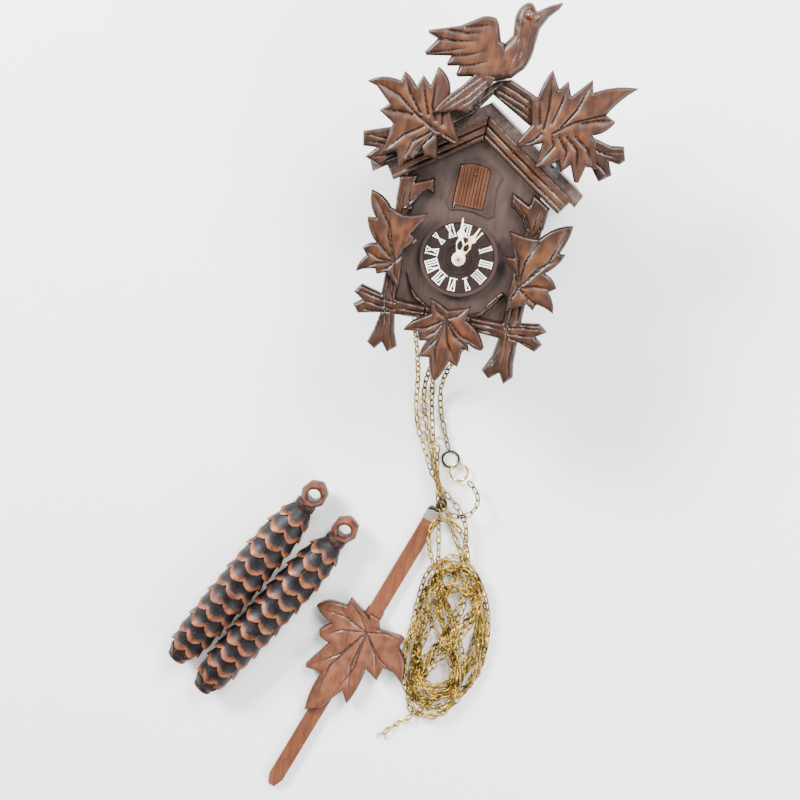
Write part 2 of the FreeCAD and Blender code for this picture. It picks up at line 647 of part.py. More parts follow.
def make_great_wheel(at, z0, phase):
    wheel = gear(at[0], at[1], z0, z0 + 1.5, *GREAT, phase, 2.0)
    wheel = spoked(wheel, at[0], at[1], z0, z0 + 1.5, 12.2, 4.2, 4, 2.4)
    low = SPROCKET_Z - 2.4
    high = SPROCKET_Z + 2.4
    drum = SPROCKET_R - 2.4
    ends = (PLATE_BACK - 0.8, PLATE_FRONT + PLATE_THICK + 0.8)
    sleeve = (min(z0 - 0.3, low - 0.6), max(z0 + 1.8, high + 0.6))
    profile = [(0, ends[0]), (ARBOR_R, ends[0]), (ARBOR_R, sleeve[0]), (2.4, sleeve[0])]
    if sleeve[0] < low - 0.6:
        profile.append((2.4, low - 0.6))
    else:
        profile.pop()
    profile += [(SPROCKET_R, low - 0.6), (SPROCKET_R, low), (drum, low), (drum, high),
                (SPROCKET_R, high), (SPROCKET_R, high + 0.6)]
    if sleeve[1] > high + 0.6:
        profile += [(2.4, high + 0.6), (2.4, sleeve[1])]
    profile += [(ARBOR_R, sleeve[1]), (ARBOR_R, ends[1]), (0, ends[1])]
    turned_part = revolved(at, profile)
    pins = []
    for k in range(8):
        p = polar(at[0], at[1], drum - 1, 45 * k)
        pins.append(Part.makeCylinder(0.8, 2.9, V(p[0], p[1], SPROCKET_Z), V(p[0] - at[0], p[1] - at[1], 0)))
    return fuse([turned_part, wheel] + pins)


TIME_PHASE = 0.0
TIME_Z = 40.0
STRIKE_Z = 58.0


def make_centre_arbor():
    phase = mesh_phase(GREAT[0], TIME_PHASE, CENTRE_PINION[0], line(TIME_AT, (0, 0)))
    pinion = gear(0, 0, TIME_Z - 0.4, TIME_Z + 1.9, *CENTRE_PINION, phase, 1.0)
    wheel = spoked(gear(0, 0, 60.2, 61.2, *CENTRE, 0.0, 1.0), 0, 0, 60.2, 61.2, 9.0, 3.0, 4, 1.8)
    shaft = rod(0, 0, PLATE_BACK - 1, 69.0, 1.5)
    cannon = gear(0, 0, MOTION_Z, MOTION_Z + 1.6, *CANNON, 0.0, 1.0)
    pipe = rod(0, 0, 69.0, 96.6, 1.5)
    square = rod(0, 0, 96.6, 99.6, 1.0)
    return fuse([pinion, wheel, shaft, cannon, pipe, square])


def make_minute_wheel():
    at = MINUTE_AT
    phase = mesh_phase(CANNON[0], 0.0, MINUTE_WHEEL[0], line((0, 0), at))
    wheel = gear(*at, MOTION_Z + 0.2, MOTION_Z + 1.4, *MINUTE_WHEEL, phase, ARBOR_R + RUN)
    pinion = gear(*at, MOTION_Z + 1.4, MOTION_Z + 3.2, *MINUTE_PINION, 0.3, ARBOR_R + RUN)
    return fuse([wheel, pinion])


def make_hour_wheel():
    phase = mesh_phase(MINUTE_PINION[0], 0.3, HOUR_WHEEL[0], line(MINUTE_AT, (0, 0)))
    module = 2 * (distance(CANNON, MINUTE_WHEEL) + 0.02) / (HOUR_WHEEL[0] + MINUTE_PINION[0])
    z = MOTION_Z + 1.9
    wheel = gear(0, 0, z, z + 1.2, HOUR_WHEEL[0], module, phase, 1.5 + RUN)
    pipe = tube(0, 0, z, 94.3, 2.6, 1.5 + RUN)
    return fuse([wheel, pipe])


def make_third_wheel():
    at = THIRD_AT
    phase = mesh_phase(CENTRE[0], 0.0, THIRD_PINION[0], line((0, 0), at))
    pinion = gear(*at, 59.6, 61.8, *THIRD_PINION, phase, 0.5)
    wheel = spoked(gear(*at, 52, 53, *THIRD, 0.0, 0.5), *at, 52, 53, 7.0, 2.4, 4, 1.5)
    shaft = arbor(at, PLATE_BACK - 0.8, PLATE_FRONT + PLATE_THICK + 0.8)
    return fuse([pinion, wheel, shaft])


def make_escape_wheel():
    at = ESCAPE_AT
    phase = mesh_phase(THIRD[0], 0.0, ESCAPE_PINION[0], line(THIRD_AT, at))
    pinion = gear(*at, 51.4, 53.6, *ESCAPE_PINION, phase, 0.4)
    corners = []
    for k in range(30):
        corners.append(polar(*at, ESCAPE_R, 12 * k))
        corners.append(polar(*at, ESCAPE_R - 1.3, 12 * k + 3))
        corners.append(polar(*at, ESCAPE_R - 1.3, 12 * k + 9))
    wheel = plate(corners, 38, 38.8).cut(arbor(at, 37, 40, 0.4))
    wheel = spoked(wheel, *at, 38, 38.8, 4.0, 1.6, 4, 1.1)
    shaft = arbor(at, PLATE_BACK - 0.8, PLATE_FRONT + PLATE_THICK + 0.8)
    return fuse([pinion, wheel, shaft])


def make_anchor():
    """Strip anchor over the escape wheel, with its arbor."""
    x, y = ANCHOR_AT
    reach = ESCAPE_R + 0.9
    arch = tube(ESCAPE_AT[0], ESCAPE_AT[1], 37.6, 39.2, reach + 1.0, reach)
    wedge = plate([(x, y - 8), (x - 9, y + 1.5), (x - 9, y + 9), (x + 9, y + 9), (x + 9, y + 1.5)],
                  37, 40)
    strip = arch.common(wedge)
    shaft = arbor(ANCHOR_AT, 17.5, PLATE_FRONT + PLATE_THICK + 0.8)
    return fuse([strip, shaft])


LEADER_Z = 19.0
LEADER_END = -47.0


def make_leader():
    """Wire that hangs from the anchor's arbor and ends in the pendulum's hook."""
    x, y = ANCHOR_AT
    hub = tube(x, y, LEADER_Z - 1.2, LEADER_Z + 2.4, 2.2, ARBOR_R)
    wire = Part.makeCylinder(0.6, y - LEADER_END - 2, V(x, LEADER_END, LEADER_Z), V(0, 1, 0))
    bend = Part.makeTorus(2.4, 0.6, V(x, LEADER_END, LEADER_Z + 2.4), V(1, 0, 0), 0, 360, 180)
    bend.rotate(V(x, LEADER_END, LEADER_Z + 2.4), V(1, 0, 0), 180)
    bend = bend.common(box(x - 3, x + 3, LEADER_END - 6, LEADER_END, LEADER_Z - 3, LEADER_Z + 9))
    return fuse([hub, wire, bend])


def make_pin_wheel():
    at = PIN_AT
    phase = mesh_phase(GREAT[0], 0.0, PIN_PINION[0], line(STRIKE_AT, at))
    pinion = gear(*at, STRIKE_Z - 0.4, STRIKE_Z + 1.9, *PIN_PINION, phase, 0.5)
    wheel = spoked(gear(*at, 52, 53.2, *PIN, 0.0, 0.5), *at, 52, 53.2, 8.0, 3.4, 4, 1.8)
    pins = [rod(*polar(*at, 9.0, 45 * k), 53.2, 56, 0.5) for k in range(8)]
    shaft = arbor(at, PLATE_BACK - 0.8, PLATE_FRONT + PLATE_THICK + 0.8)
    return fuse([pinion, wheel, shaft] + pins)


def make_fly():
    at = FLY_AT
    phase = mesh_phase(PIN[0], 0.0, FLY_PINION[0], line(PIN_AT, at))
    pinion = gear(*at, 51.6, 53.8, *FLY_PINION, phase, 0.4)
    vane = box(at[0] - 6.6, at[0] + 6.6, at[1] - 0.3, at[1] + 0.3, 38, 50)
    shaft = arbor(at, PLATE_BACK - 0.8, PLATE_FRONT + PLATE_THICK + 0.8)
    return fuse([pinion, turned(vane, *at, 25), shaft])


GONG_AT = (-1.0, 3.0)
GONG_R = 16.0
GONG_Z = 8.0


def make_gong():
    """Wire gong: flat turns round a block that is screwed to the back panel."""
    x, y = GONG_AT
    turns = []
    for k in range(3):
        turns.append(Part.makeTorus(GONG_R - 3.2 * k, 0.7, V(x, y, GONG_Z)))
    spoke = box(x - 0.7, x + 0.7, y - GONG_R, y - 2, GONG_Z - 0.5, GONG_Z + 0.5)
    block = box(x - 4, x + 4, y - 6, y + 3, BACK, GONG_Z + 3)
    return fuse(turns + [spoke, block])


def make_hammer():
    x, y = HAMMER_AT
    shaft = arbor(HAMMER_AT, 5.5, 38)
    head_at = (12.6, -13.6)
    arm = bar(x, y, *head_at, 1.0, GONG_Z - 0.5, GONG_Z + 0.5)
    head = rod(*head_at, GONG_Z - 2, GONG_Z + 2, 2.0)
    tail = bar(x, y, x + 4.5, y + 3.0, 1.0, 36.2, 37.2)
    return fuse([shaft, arm, head, tail])


# ---- cuckoo and bellows -------------------------------------------------------------------
def make_cuckoo_door():
    door = plate(door_outline(0), CASE_DEPTH - DOOR_THICK, CASE_DEPTH)
    ribs = []
    pitch = 2 * DOOR_HALF / 9
    for k in range(1, 9):
        x = DOOR_X - DOOR_HALF + k * pitch
        ribs.append(box(x - 0.3, x + 0.3, DOOR_BOTTOM + 0.9, DOOR_SHOULDER, CASE_DEPTH - 0.6, 90))
    knob = Part.makeSphere(0.9, V(-0.6, 47.5, CASE_DEPTH + 0.1))
    knuckle = Part.makeCylinder(0.75, DOOR_SHOULDER - DOOR_BOTTOM - 2,
                                V(DOOR_X - DOOR_HALF - 0.05, DOOR_BOTTOM + 1, CASE_DEPTH), V(0, 1, 0))
    bore = Part.makeCylinder(0.4, 40, V(DOOR_X - DOOR_HALF - 0.05, DOOR_BOTTOM - 5, CASE_DEPTH), V(0, 1, 0))
    return door.cut(fuse(ribs)).fuse([knob, knuckle]).removeSplitter().cut(bore)


def make_door_wire():
    """Hinge wire of the door, with its two ends turned into the panel."""
    x = DOOR_X - DOOR_HALF - 0.05
    low = DOOR_BOTTOM - 1.6
    wire = Part.makeCylinder(0.34, DOOR_SHOULDER - DOOR_BOTTOM + 1.2, V(x, low, CASE_DEPTH), V(0, 1, 0))
    foot = box(x - 0.25, x + 0.25, low + 0.2, low + 0.7, CASE_DEPTH - 1.0, CASE_DEPTH)
    return fuse([wire, foot])


def make_cuckoo():
    """The small bird behind the door, beak forward."""
    profile = [(0, 60), (1.2, 60.4, 0.05), (3.9, 66.5, 0.15), (2.4, 73.4, 0.1), (2.9, 76, 0.2),
               (0.9, 78.0), (0.35, 79), (0, 79)]
    face = outline_face([(r, z - 60) for r, z, *b in profile], 0)
    solid = face.revolve(V(0, 0, 0), V(0, 1, 0), 360)
    solid.rotate(V(0, 0, 0), V(1, 0, 0), 90)
    solid.translate(V(DOOR_X, 40, 60))
    tail = box(DOOR_X - 1.6, DOOR_X + 1.6, 39, 40.2, 54, 62)
    return solid.fuse(tail).removeSplitter()


BIRD_RAIL = (DOOR_X, 31.8)


def make_bird_arm():
    """Wire that carries the small bird: a rail that slides in the front plate, and a leg."""
    x, y = BIRD_RAIL
    leg = Part.makeCylinder(0.45, 4.6, V(x, y, 69), V(0, 1, 0))
    return fuse([leg, rod(x, y, 41, 69.6, 0.6)])


PIPE_X = (23.0, 33.5)
PIPE_Z = (12.0, 26.0)
PIPE_TOP = 16.0


def make_whistles():
    """Two wooden whistle pipes with the lower board and folded cloth of their bellows."""
    pieces = []
    for side, low in ((-1, -26.0), (1, -16.0)):
        x0, x1 = sorted((side * PIPE_X[0], side * PIPE_X[1]))
        z0, z1 = PIPE_Z
        pipe = box(x0, x1, low, PIPE_TOP, z0, z1)
        bore = box(x0 + 1.5, x1 - 1.5, low + 1.5, PIPE_TOP + 1, z0 + 1.5, z1 - 1.5)
        mouth = box(x0 + 2, x1 - 2, PIPE_TOP - 6, PIPE_TOP - 3, z1 - 2, z1 + 1)
        board = box(x0, x1, PIPE_TOP, PIPE_TOP + 1.6, 7, 31)
        folds = box(x0 + 0.6, x1 - 0.6, PIPE_TOP + 1.6, PIPE_TOP + 4.4, 8, 30)
        block = box(x0, x1, 2, 8, BACK, z0)
        pieces.append(fuse([pipe.cut(bore).cut(mouth), board, folds, block]))
    return group(pieces)


def make_bellows_top(side):
    x0, x1 = sorted((side * PIPE_X[0], side * PIPE_X[1]))
    y = PIPE_TOP + 4.4 + GAP
    board = box(x0, x1, y, y + 1.6, 7, 29.6)
    ear = Part.makeCylinder(0.8, x1 - x0, V(x0, y + 0.8, 29.6), V(1, 0, 0))
    middle = (x0 + x1) / 2
    loop = Part.makeTorus(1.2, 0.35, V(middle, y + 3.0, 9.5), V(1, 0, 0))
    return fuse([board, ear, loop])


def make_screws():
    """Round-headed screws: four hold the movement's feet, four the back panel."""
    screws = []
    for x, y in PILLARS:
        head = rod(x, y, PLATE_BACK - 1.2, PLATE_BACK, 1.8)
        slot = box(x - 3, x + 3, y - 0.25, y + 0.25, PLATE_BACK - 1.6, PLATE_BACK - 0.7)
        screws.append(head.cut(slot))
    return group(screws)


# ---- pendulum and weights -----------------------------------------------------------------
def on_stick(along, across):
    """A point on the stick: along it from the top, and across it to its right."""
    a = radians(STICK_TURN)
    x = STICK_TOP[0] - along * sin(a) + across * cos(a)
    return (x, STICK_TOP[1] - along * cos(a) - across * sin(a))


LEAF_BOB = [
    (-23.5, -244.5), (-11.5, -254), (-2, -262.4), (14, -263.4), (16.8, -265.4), (14, -272, 0.08),
    (20.6, -283.5), (21.8, -298, -0.05), (13.5, -290), (6.8, -288.2), (4.3, -298.2), (-4.4, -291.4, 0.05),
    (-12.5, -319.2), (-16.8, -310.2), (-29, -325.4), (-39.4, -329.6, 0.05), (-33, -300.5),
    (-44, -299.6), (-44.4, -297), (-32, -279, 0.05), (-39.2, -275.6), (-40, -271.4), (-33, -264.6, 0.1),
    (-44.9, -255, 0.14), (-32, -250), (-25.2, -250.8),
]


def make_stick():
    half = STICK_WIDTH / 2
    ends = [(0, -half), (0, half), (STICK_LENGTH - 7, half), (STICK_LENGTH, 2.2),
            (STICK_LENGTH, -2.2), (STICK_LENGTH - 7, -half)]
    outline = [on_stick(a, c) for a, c in ends]
    return plate(outline, STICK_Z, STICK_Z + STICK_THICK)


def make_pendulum_hook():
    """Folded metal clip round the stick's top, and the hook that stands up from it."""
    half = STICK_WIDTH / 2 + 0.6
    outline = [on_stick(a, c) for a, c in ((-6.5, -half + 1.5), (-7.6, half - 2), (-1.5, half + 0.8),
                                          (2.6, half), (2.6, -half), (-4.2, -half))]
    clip = plate(outline, STICK_Z - 0.6, STICK_Z + STICK_THICK + 0.6)
    inner = [on_stick(a, c) for a, c in ((0, -half + 0.6), (0, half - 0.6), (9, half - 0.6), (9, -half + 0.6))]
    clip = clip.cut(plate(inner, STICK_Z, STICK_Z + STICK_THICK))
    low = on_stick(-4.4, 0.6)
    high = on_stick(-12.5, 0.4)
    top = STICK_Z + STICK_THICK + 0.6
    stem = bar(*low, *high, 3.4, top, top + 2.2)
    bend = tube(high[0], high[1], top, top + 2.2, 3.4, 1.6)
    mouth = box(high[0] - 6, high[0] - 0.5, high[1] - 1.2, high[1] + 1.2, top - 1, top + 4)
    return fuse([clip, stem, bend.cut(mouth)])


BOB_BACK = STICK_Z + STICK_THICK + 0.1
BOB_THICK = 5.0


def make_leaf_bob():
    """Carved leaf on the front of the stick, with the spring clip that grips it."""
    leaf = plate(LEAF_BOB, BOB_BACK, BOB_BACK + BOB_THICK)
    half = STICK_WIDTH / 2
    ends = [(74, -half - 0.7), (74, half + 0.7), (94, half + 0.7), (94, -half - 0.7)]
    outer = plate([on_stick(a, c) for a, c in ends], STICK_Z - 0.6, BOB_BACK + 0.6)
    ends = [(73, -half - 0.05), (73, half + 0.05), (95, half + 0.05), (95, -half - 0.05)]
    clear = plate([on_stick(a, c) for a, c in ends], STICK_Z - 0.06, BOB_BACK)
    clip = outer.cut(clear)
    return fuse([leaf, clip])


CONE = [(0, 0), (6.8, 1.6), (10.2, 6.5), (12.3, 19), (13.3, 48), (13.8, 80), (13.6, 112),
        (12.2, 128), (8.4, 138), (5.6, 142), (0, 142)]


def make_weight(tip, angle):
    """A cone weight lying down: tip is the centre of its lower end, angle from +Y."""
    edges = []
    for a, b in zip(CONE, CONE[1:] + CONE[:1]):
        edges.append(Part.makeLine(V(a[0], a[1], 0), V(b[0], b[1], 0)))
    body = Part.Face(Part.Wire(edges)).revolve(V(0, 0, 0), V(0, 1, 0), 360)
    eye = plate([(-6, 140), (6, 140), (8.6, 150, 0.05), (6.2, 160.5, 0.2), (-6.2, 160.5, 0.05), (-8.6, 150)],
                -6, 6)
    hole = rod(0, 151.5, -20, 20, 4.0)
    weight = body.fuse(eye.cut(hole)).removeSplitter()
    weight.rotate(V(0, 0, 0), V(0, 0, 1), -angle)
    weight.translate(V(tip[0], tip[1], WEIGHT_R))
    return weight


# ---- chains -------------------------------------------------------------------------------
TIME_WEIGHT_ROUTE = [
    (-20.0, -33, 47), (-19.7, -43, 43.5), (-17.9, -54, 36), (-15.2, -65, 26.6), (-12.8, -76, 17.8),
    (-10.8, -86, 10.5), (-9.6, -96, 5), (-8.6, -106, 2.6), (-6.6, -115, 1.9), (-3.4, -124, 2.3),
    (0.6, -131.4, 4.0), (4.2, -137.0, 6.4),
]
STRIKE_WEIGHT_ROUTE = [
    (6.0, -33, 47), (5.7, -43, 42.5), (3.4, -54, 34), (0.3, -65, 24.2), (-2.6, -76, 15),
    (-4.8, -86, 7.6), (-5.2, -96, 3.4), (-3.4, -107, 1.9), (-0.2, -117, 1.8), (3.6, -127, 1.9),
    (7.8, -136.4, 1.8),
]
TIME_RING_ROUTE = [
    (-6.0, -33, 47), (-5.8, -43, 46), (-5.2, -54, 41), (-4.2, -65, 33.4), (-2.8, -76, 24),
    (-1.2, -86, 14.8), (0.2, -96, 7.6), (2.0, -107, 4.0), (4.6, -117.5, 4.8), (7.4, -127.6, 8.6),
    (10.0, -137.4, 12.4), (13.2, -147, 12.7), (16.6, -155.2, 12.5), (19.8, -162.6, 12.5),
    (23.0, -169.4, 12.5), (29.2, -173.4, 12.5), (36.6, -172.8, 12.5), (42.4, -168, 12.5),
    (44.4, -160.8, 12.1), (41.6, -153.9, 10.4), (35.4, -150.2, 7.8),
]
STRIKE_RING_ROUTE = [
    (20.0, -33, 47), (19.4, -43, 45), (16.2, -54, 38), (12.0, -65, 29), (8.0, -76, 19.8),
    (5.6, -86, 11.6), (5.4, -96, 5.4), (7.4, -106, 2.6), (10.6, -115.5, 1.9), (14.4, -124, 2.2),
    (17.2, -130.4, 1.9), (18.4, -133.2, 1.9),
]
STRIKE_HEAP = [
    (4.4, -138.4), (12.4, -138.4), (14.2, -147), (20.8, -153.4), (29.6, -165), (37.4, -170.4), (42, -185), (47, -200, 0.06), (60, -212),
    (66.6, -230), (68, -244), (81.6, -245.6), (84.2, -260), (79, -264.6), (76.6, -276, 0.2),
    (70.6, -270), (69, -284, 0.03), (63.2, -321, 0.18), (48, -333), (29, -329.4), (21, -337),
    (13.6, -334), (12, -318.6), (5, -318), (6, -311), (11.2, -300), (13.4, -291.6), (19.4, -285),
    (17.4, -271), (27.6, -267), (28, -250), (28, -214), (25.8, -196), (25.2, -172), (14.2, -163.6), (8, -151),
]
TIME_HEAP = [
    (4.0, -138.6), (12, -138.6), (14, -147), (20.6, -155.6), (29.4, -167.6),
    (35.4, -172), (41, -200), (50, -215), (57, -235), (62.4, -250), (63.4, -282), (60, -312, 0.1),
    (45, -321), (30, -318), (25, -300), (24.4, -272), (30.6, -262), (29.8, -235), (28.8, -205),
    (27.4, -186), (26.6, -164.4), (16, -162.4), (8.2, -151),
]
HEAP_SPLIT = 4.2
HEAP_TOP = 10.4
BRASS_RING_AT = (28.2, -146.2, 3.6)
DARK_RING_AT = (21.2, -139.6, 1.2)


def make_hook(x, y, z, angle):
    """A wire hook at the end of a chain: a stem that ends in an open bend."""
    bend = Part.makeTorus(2.6, 0.6, V(x, y, z), V(0, 0, 1), 0, 360, 250)
    bend.rotate(V(x, y, z), V(0, 0, 1), angle)
    return bend


def build():
    os.makedirs("parts", exist_ok=True)
    save("front_panel", make_front_panel())
    save("side_walls", make_side_walls())
    save("bottom_board", make_bottom_board())
    save("back_panel", make_back_panel())
    save("service_cover", make_service_cover())
    save("roof_boards", make_roof_boards())
    save("roof_trims", make_roof_trims())
    save("roof_plates", make_roof_plates())
    save("door_surround", make_door_surround())
    save("branch_frame", make_branch_frame())
    save("leaf_left", carved_leaf(LEAF_LEFT))
    save("leaf_right", carved_leaf(LEAF_RIGHT))
    save("leaf_bottom", carved_leaf(LEAF_BOTTOM))
    save("crown_branches", make_crown_branches())
    save("crown_leaf_left", crown_leaf(CROWN_LEAF_LEFT))
    save("crown_leaf_right", crown_leaf(CROWN_LEAF_RIGHT))
    save("crown_bird", make_crown_bird())
    save("bird_eye", make_bird_eye())
    save("dial", make_dial())
    save("numerals", make_numerals())
    save("hour_hand", make_hour_hand())
    save("minute_hand", make_minute_hand())
    save("hand_nut", make_hand_nut())
    save("movement_frame", make_movement_frame())
    save("great_wheel_time", make_great_wheel(TIME_AT, TIME_Z, TIME_PHASE))
    save("great_wheel_strike", make_great_wheel(STRIKE_AT, STRIKE_Z, 0.0))
    save("centre_arbor", make_centre_arbor())
    save("minute_wheel", make_minute_wheel())
    save("hour_wheel", make_hour_wheel())
    save("third_wheel", make_third_wheel())
    save("escape_wheel", make_escape_wheel())
    save("anchor", make_anchor())
    save("pendulum_leader", make_leader())
    save("pin_wheel", make_pin_wheel())
    save("fly", make_fly())
    save("gong", make_gong())
    save("hammer", make_hammer())
    save("cuckoo_door", make_cuckoo_door())
    save("door_wire", make_door_wire())
    save("cuckoo", make_cuckoo())
    save("bird_arm", make_bird_arm())
    save("whistles", make_whistles())
    save("bellows_top_left", make_bellows_top(-1))
    save("bellows_top_right", make_bellows_top(1))
    save("screws", make_screws())
    save("pendulum_stick", make_stick())
    save("pendulum_hook", make_pendulum_hook())
    save("leaf_bob", make_leaf_bob())
    save("weight_left", make_weight((-131.0, -312.0), 27.9))
    save("weight_right", make_weight((-110.6, -329.2), 29.4))
    save("time_weight_chain", cord("time_weight_chain", TIME_WEIGHT_ROUTE, CHAIN_D))
    save("strike_weight_chain", cord("strike_weight_chain", STRIKE_WEIGHT_ROUTE, CHAIN_D))
    save("time_ring_chain", cord("time_ring_chain", TIME_RING_ROUTE, CHAIN_D))
    save("strike_ring_chain", cord("strike_ring_chain", STRIKE_RING_ROUTE, CHAIN_D))
    save("time_heap", plate(TIME_HEAP, HEAP_SPLIT + 0.2, HEAP_TOP))
    save("strike_heap", plate(STRIKE_HEAP, 0.05, HEAP_SPLIT))
    save("brass_ring", Part.makeTorus(5.8, 0.85, V(*BRASS_RING_AT)))
    save("dark_ring", Part.makeTorus(5.3, 0.8, V(*DARK_RING_AT)))
    save("time_hook", make_hook(11.0, -129.4, 0.9, 60))
    save("strike_hook", make_hook(15.6, -339.6, 0.8, -30))


build()
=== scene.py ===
from math import cos, hypot, pi, radians, sin, sqrt

import bpy
import numpy as np
from mathutils import Matrix, Vector, noise
from mathutils.geometry import delaunay_2d_cdt


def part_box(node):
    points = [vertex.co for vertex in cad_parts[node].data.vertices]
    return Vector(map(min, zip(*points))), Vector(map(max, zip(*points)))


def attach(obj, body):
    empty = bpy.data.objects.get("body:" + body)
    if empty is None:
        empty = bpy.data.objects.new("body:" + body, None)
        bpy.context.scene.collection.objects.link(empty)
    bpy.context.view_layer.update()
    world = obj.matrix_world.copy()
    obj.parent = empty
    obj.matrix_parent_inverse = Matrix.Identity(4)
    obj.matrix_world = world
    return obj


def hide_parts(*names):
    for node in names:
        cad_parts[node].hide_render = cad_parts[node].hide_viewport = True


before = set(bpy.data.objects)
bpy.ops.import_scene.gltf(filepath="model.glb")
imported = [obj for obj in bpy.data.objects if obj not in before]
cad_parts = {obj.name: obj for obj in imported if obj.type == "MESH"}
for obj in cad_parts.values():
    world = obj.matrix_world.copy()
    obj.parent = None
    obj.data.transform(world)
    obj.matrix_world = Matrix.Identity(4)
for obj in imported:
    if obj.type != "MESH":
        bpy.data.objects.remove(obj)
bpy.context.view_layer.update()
MM = 0.001


# ---- materials ----------------------------------------------------------------------------
def node_tree(name):
    mat = bpy.data.materials.new(name)
    mat.use_nodes = True
    nodes = mat.node_tree.nodes
    shader = nodes["Principled BSDF"]
    return mat, nodes, mat.node_tree.links, shader


def coords(nodes, links, scale, turn=(0, 0, 0)):
    where = nodes.new("ShaderNodeTexCoord")
    mapping = nodes.new("ShaderNodeMapping")
    mapping.inputs["Scale"].default_value = scale
    mapping.inputs["Rotation"].default_value = turn
    links.new(where.outputs["Object"], mapping.inputs["Vector"])
    return mapping.outputs["Vector"]


def noise_node(nodes, links, vector, scale, detail=5, rough=0.6, warp=0.0):
    n = nodes.new("ShaderNodeTexNoise")
    n.inputs["Scale"].default_value = scale
    n.inputs["Detail"].default_value = detail
    n.inputs["Roughness"].default_value = rough
    n.inputs["Distortion"].default_value = warp
    links.new(vector, n.inputs["Vector"])
    return n.outputs["Fac"]


def ramp(nodes, links, value, stops):
    r = nodes.new("ShaderNodeValToRGB")
    ends = r.color_ramp.elements
    while len(ends) < len(stops):
        ends.new(0.5)
    for end, (at, colour) in zip(ends, stops):
        end.position = at
        end.color = (*colour, 1)
    links.new(value, r.inputs["Fac"])
    return r.outputs["Color"]


def mix(nodes, links, factor, a, b, kind="MIX"):
    m = nodes.new("ShaderNodeMix")
    m.data_type = "RGBA"
    m.blend_type = kind
    if isinstance(factor, (int, float)):
        m.inputs["Factor"].default_value = factor
    else:
        links.new(factor, m.inputs["Factor"])
    for socket, value in (("A", a), ("B", b)):
        target = [s for s in m.inputs if s.name == socket and s.type == "RGBA"][0]
        if isinstance(value, tuple):
            target.default_value = (*value, 1)
        else:
            links.new(value, target)
    return [s for s in m.outputs if s.type == "RGBA"][0]


def spread(nodes, links, value, low, high):
    m = nodes.new("ShaderNodeMapRange")
    m.inputs["To Min"].default_value = low
    m.inputs["To Max"].default_value = high
    links.new(value, m.inputs["Value"])
    return m.outputs["Result"]


def bumps(nodes, links, shader, layers):
    last = None
    for height, strength, distance in layers:
        b = nodes.new("ShaderNodeBump")
        b.inputs["Strength"].default_value = strength
        b.inputs["Distance"].default_value = distance
        links.new(height, b.inputs["Height"])
        if last:
            links.new(last, b.inputs["Normal"])
        last = b.outputs["Normal"]
    links.new(last, shader.inputs["Normal"])


def attribute(nodes, name):
    a = nodes.new("ShaderNodeAttribute")
    a.attribute_name = name
    return a.outputs["Fac"]


def wood(name, dark, mid, light, grain=(1, 0.12, 1), turn=(0, 0, 0), size=420, rough=(0.28, 0.45),
         coat=0.5, bump=0.25, carved=False):
    mat, nodes, links, shader = node_tree(name)
    along = coords(nodes, links, grain, turn)
    fibre = noise_node(nodes, links, along, size, 7, 0.65, 0.3)
    broad = noise_node(nodes, links, coords(nodes, links, (1, 1, 1)), 45, 4, 0.55, 0.6)
    pores = noise_node(nodes, links, along, size * 4, 3, 0.5)
    base = ramp(nodes, links, fibre, [(0.2, dark), (0.5, mid), (0.85, light)])
    patch = ramp(nodes, links, broad, [(0.3, (0.5, 0.46, 0.44)), (0.7, (1.1, 1.08, 1.05))])
    colour = mix(nodes, links, 0.75, base, patch, "MULTIPLY")
    # Painted shade and painted highlight: the deep attribute darkens the colour in the grooves, along the
    # outline and on the sides, and the high attribute lightens the raised middle of the carving.
    if carved:
        deep = attribute(nodes, "deep")
        high = attribute(nodes, "high")
        colour = mix(nodes, links, deep, colour, tuple(c * 0.22 for c in dark))
        wear_and_painted_highlight = spread(nodes, links, high, 0.0, 0.85)
        colour = mix(nodes, links, wear_and_painted_highlight, colour, tuple(min(1, c * 1.25) for c in light))
    links.new(colour, shader.inputs["Base Color"])
    links.new(spread(nodes, links, broad, *rough), shader.inputs["Roughness"])
    shader.inputs["Coat Weight"].default_value = coat
    shader.inputs["Coat Roughness"].default_value = 0.3
    shader.inputs["Specular IOR Level"].default_value = 0.35
    bumps(nodes, links, shader, [(fibre, bump, 0.0004), (pores, bump * 0.5, 0.0001)])
    return mat


def metal(name, colour, shade, rough=(0.25, 0.5), metallic=1.0, size=900, bump=0.15):
    mat, nodes, links, shader = node_tree(name)
    place = coords(nodes, links, (1, 1, 1))
    fine = noise_node(nodes, links, place, size, 5)
    broad = noise_node(nodes, links, place, 130, 4)
    links.new(ramp(nodes, links, broad, [(0.35, shade), (0.62, colour)]), shader.inputs["Base Color"])
    links.new(spread(nodes, links, fine, *rough), shader.inputs["Roughness"])
    shader.inputs["Metallic"].default_value = metallic
    bumps(nodes, links, shader, [(fine, bump, 0.0002)])
    return mat


def paint(name, colour, shade, rough=0.45, coat=0.1, size=700):
    mat, nodes, links, shader = node_tree(name)
    place = coords(nodes, links, (1, 1, 1))
    fine = noise_node(nodes, links, place, size, 4)
    links.new(ramp(nodes, links, fine, [(0.3, shade), (0.6, colour)]), shader.inputs["Base Color"])
    shader.inputs["Roughness"].default_value = rough
    shader.inputs["Coat Weight"].default_value = coat
    bumps(nodes, links, shader, [(fine, 0.1, 0.0001)])
    return mat


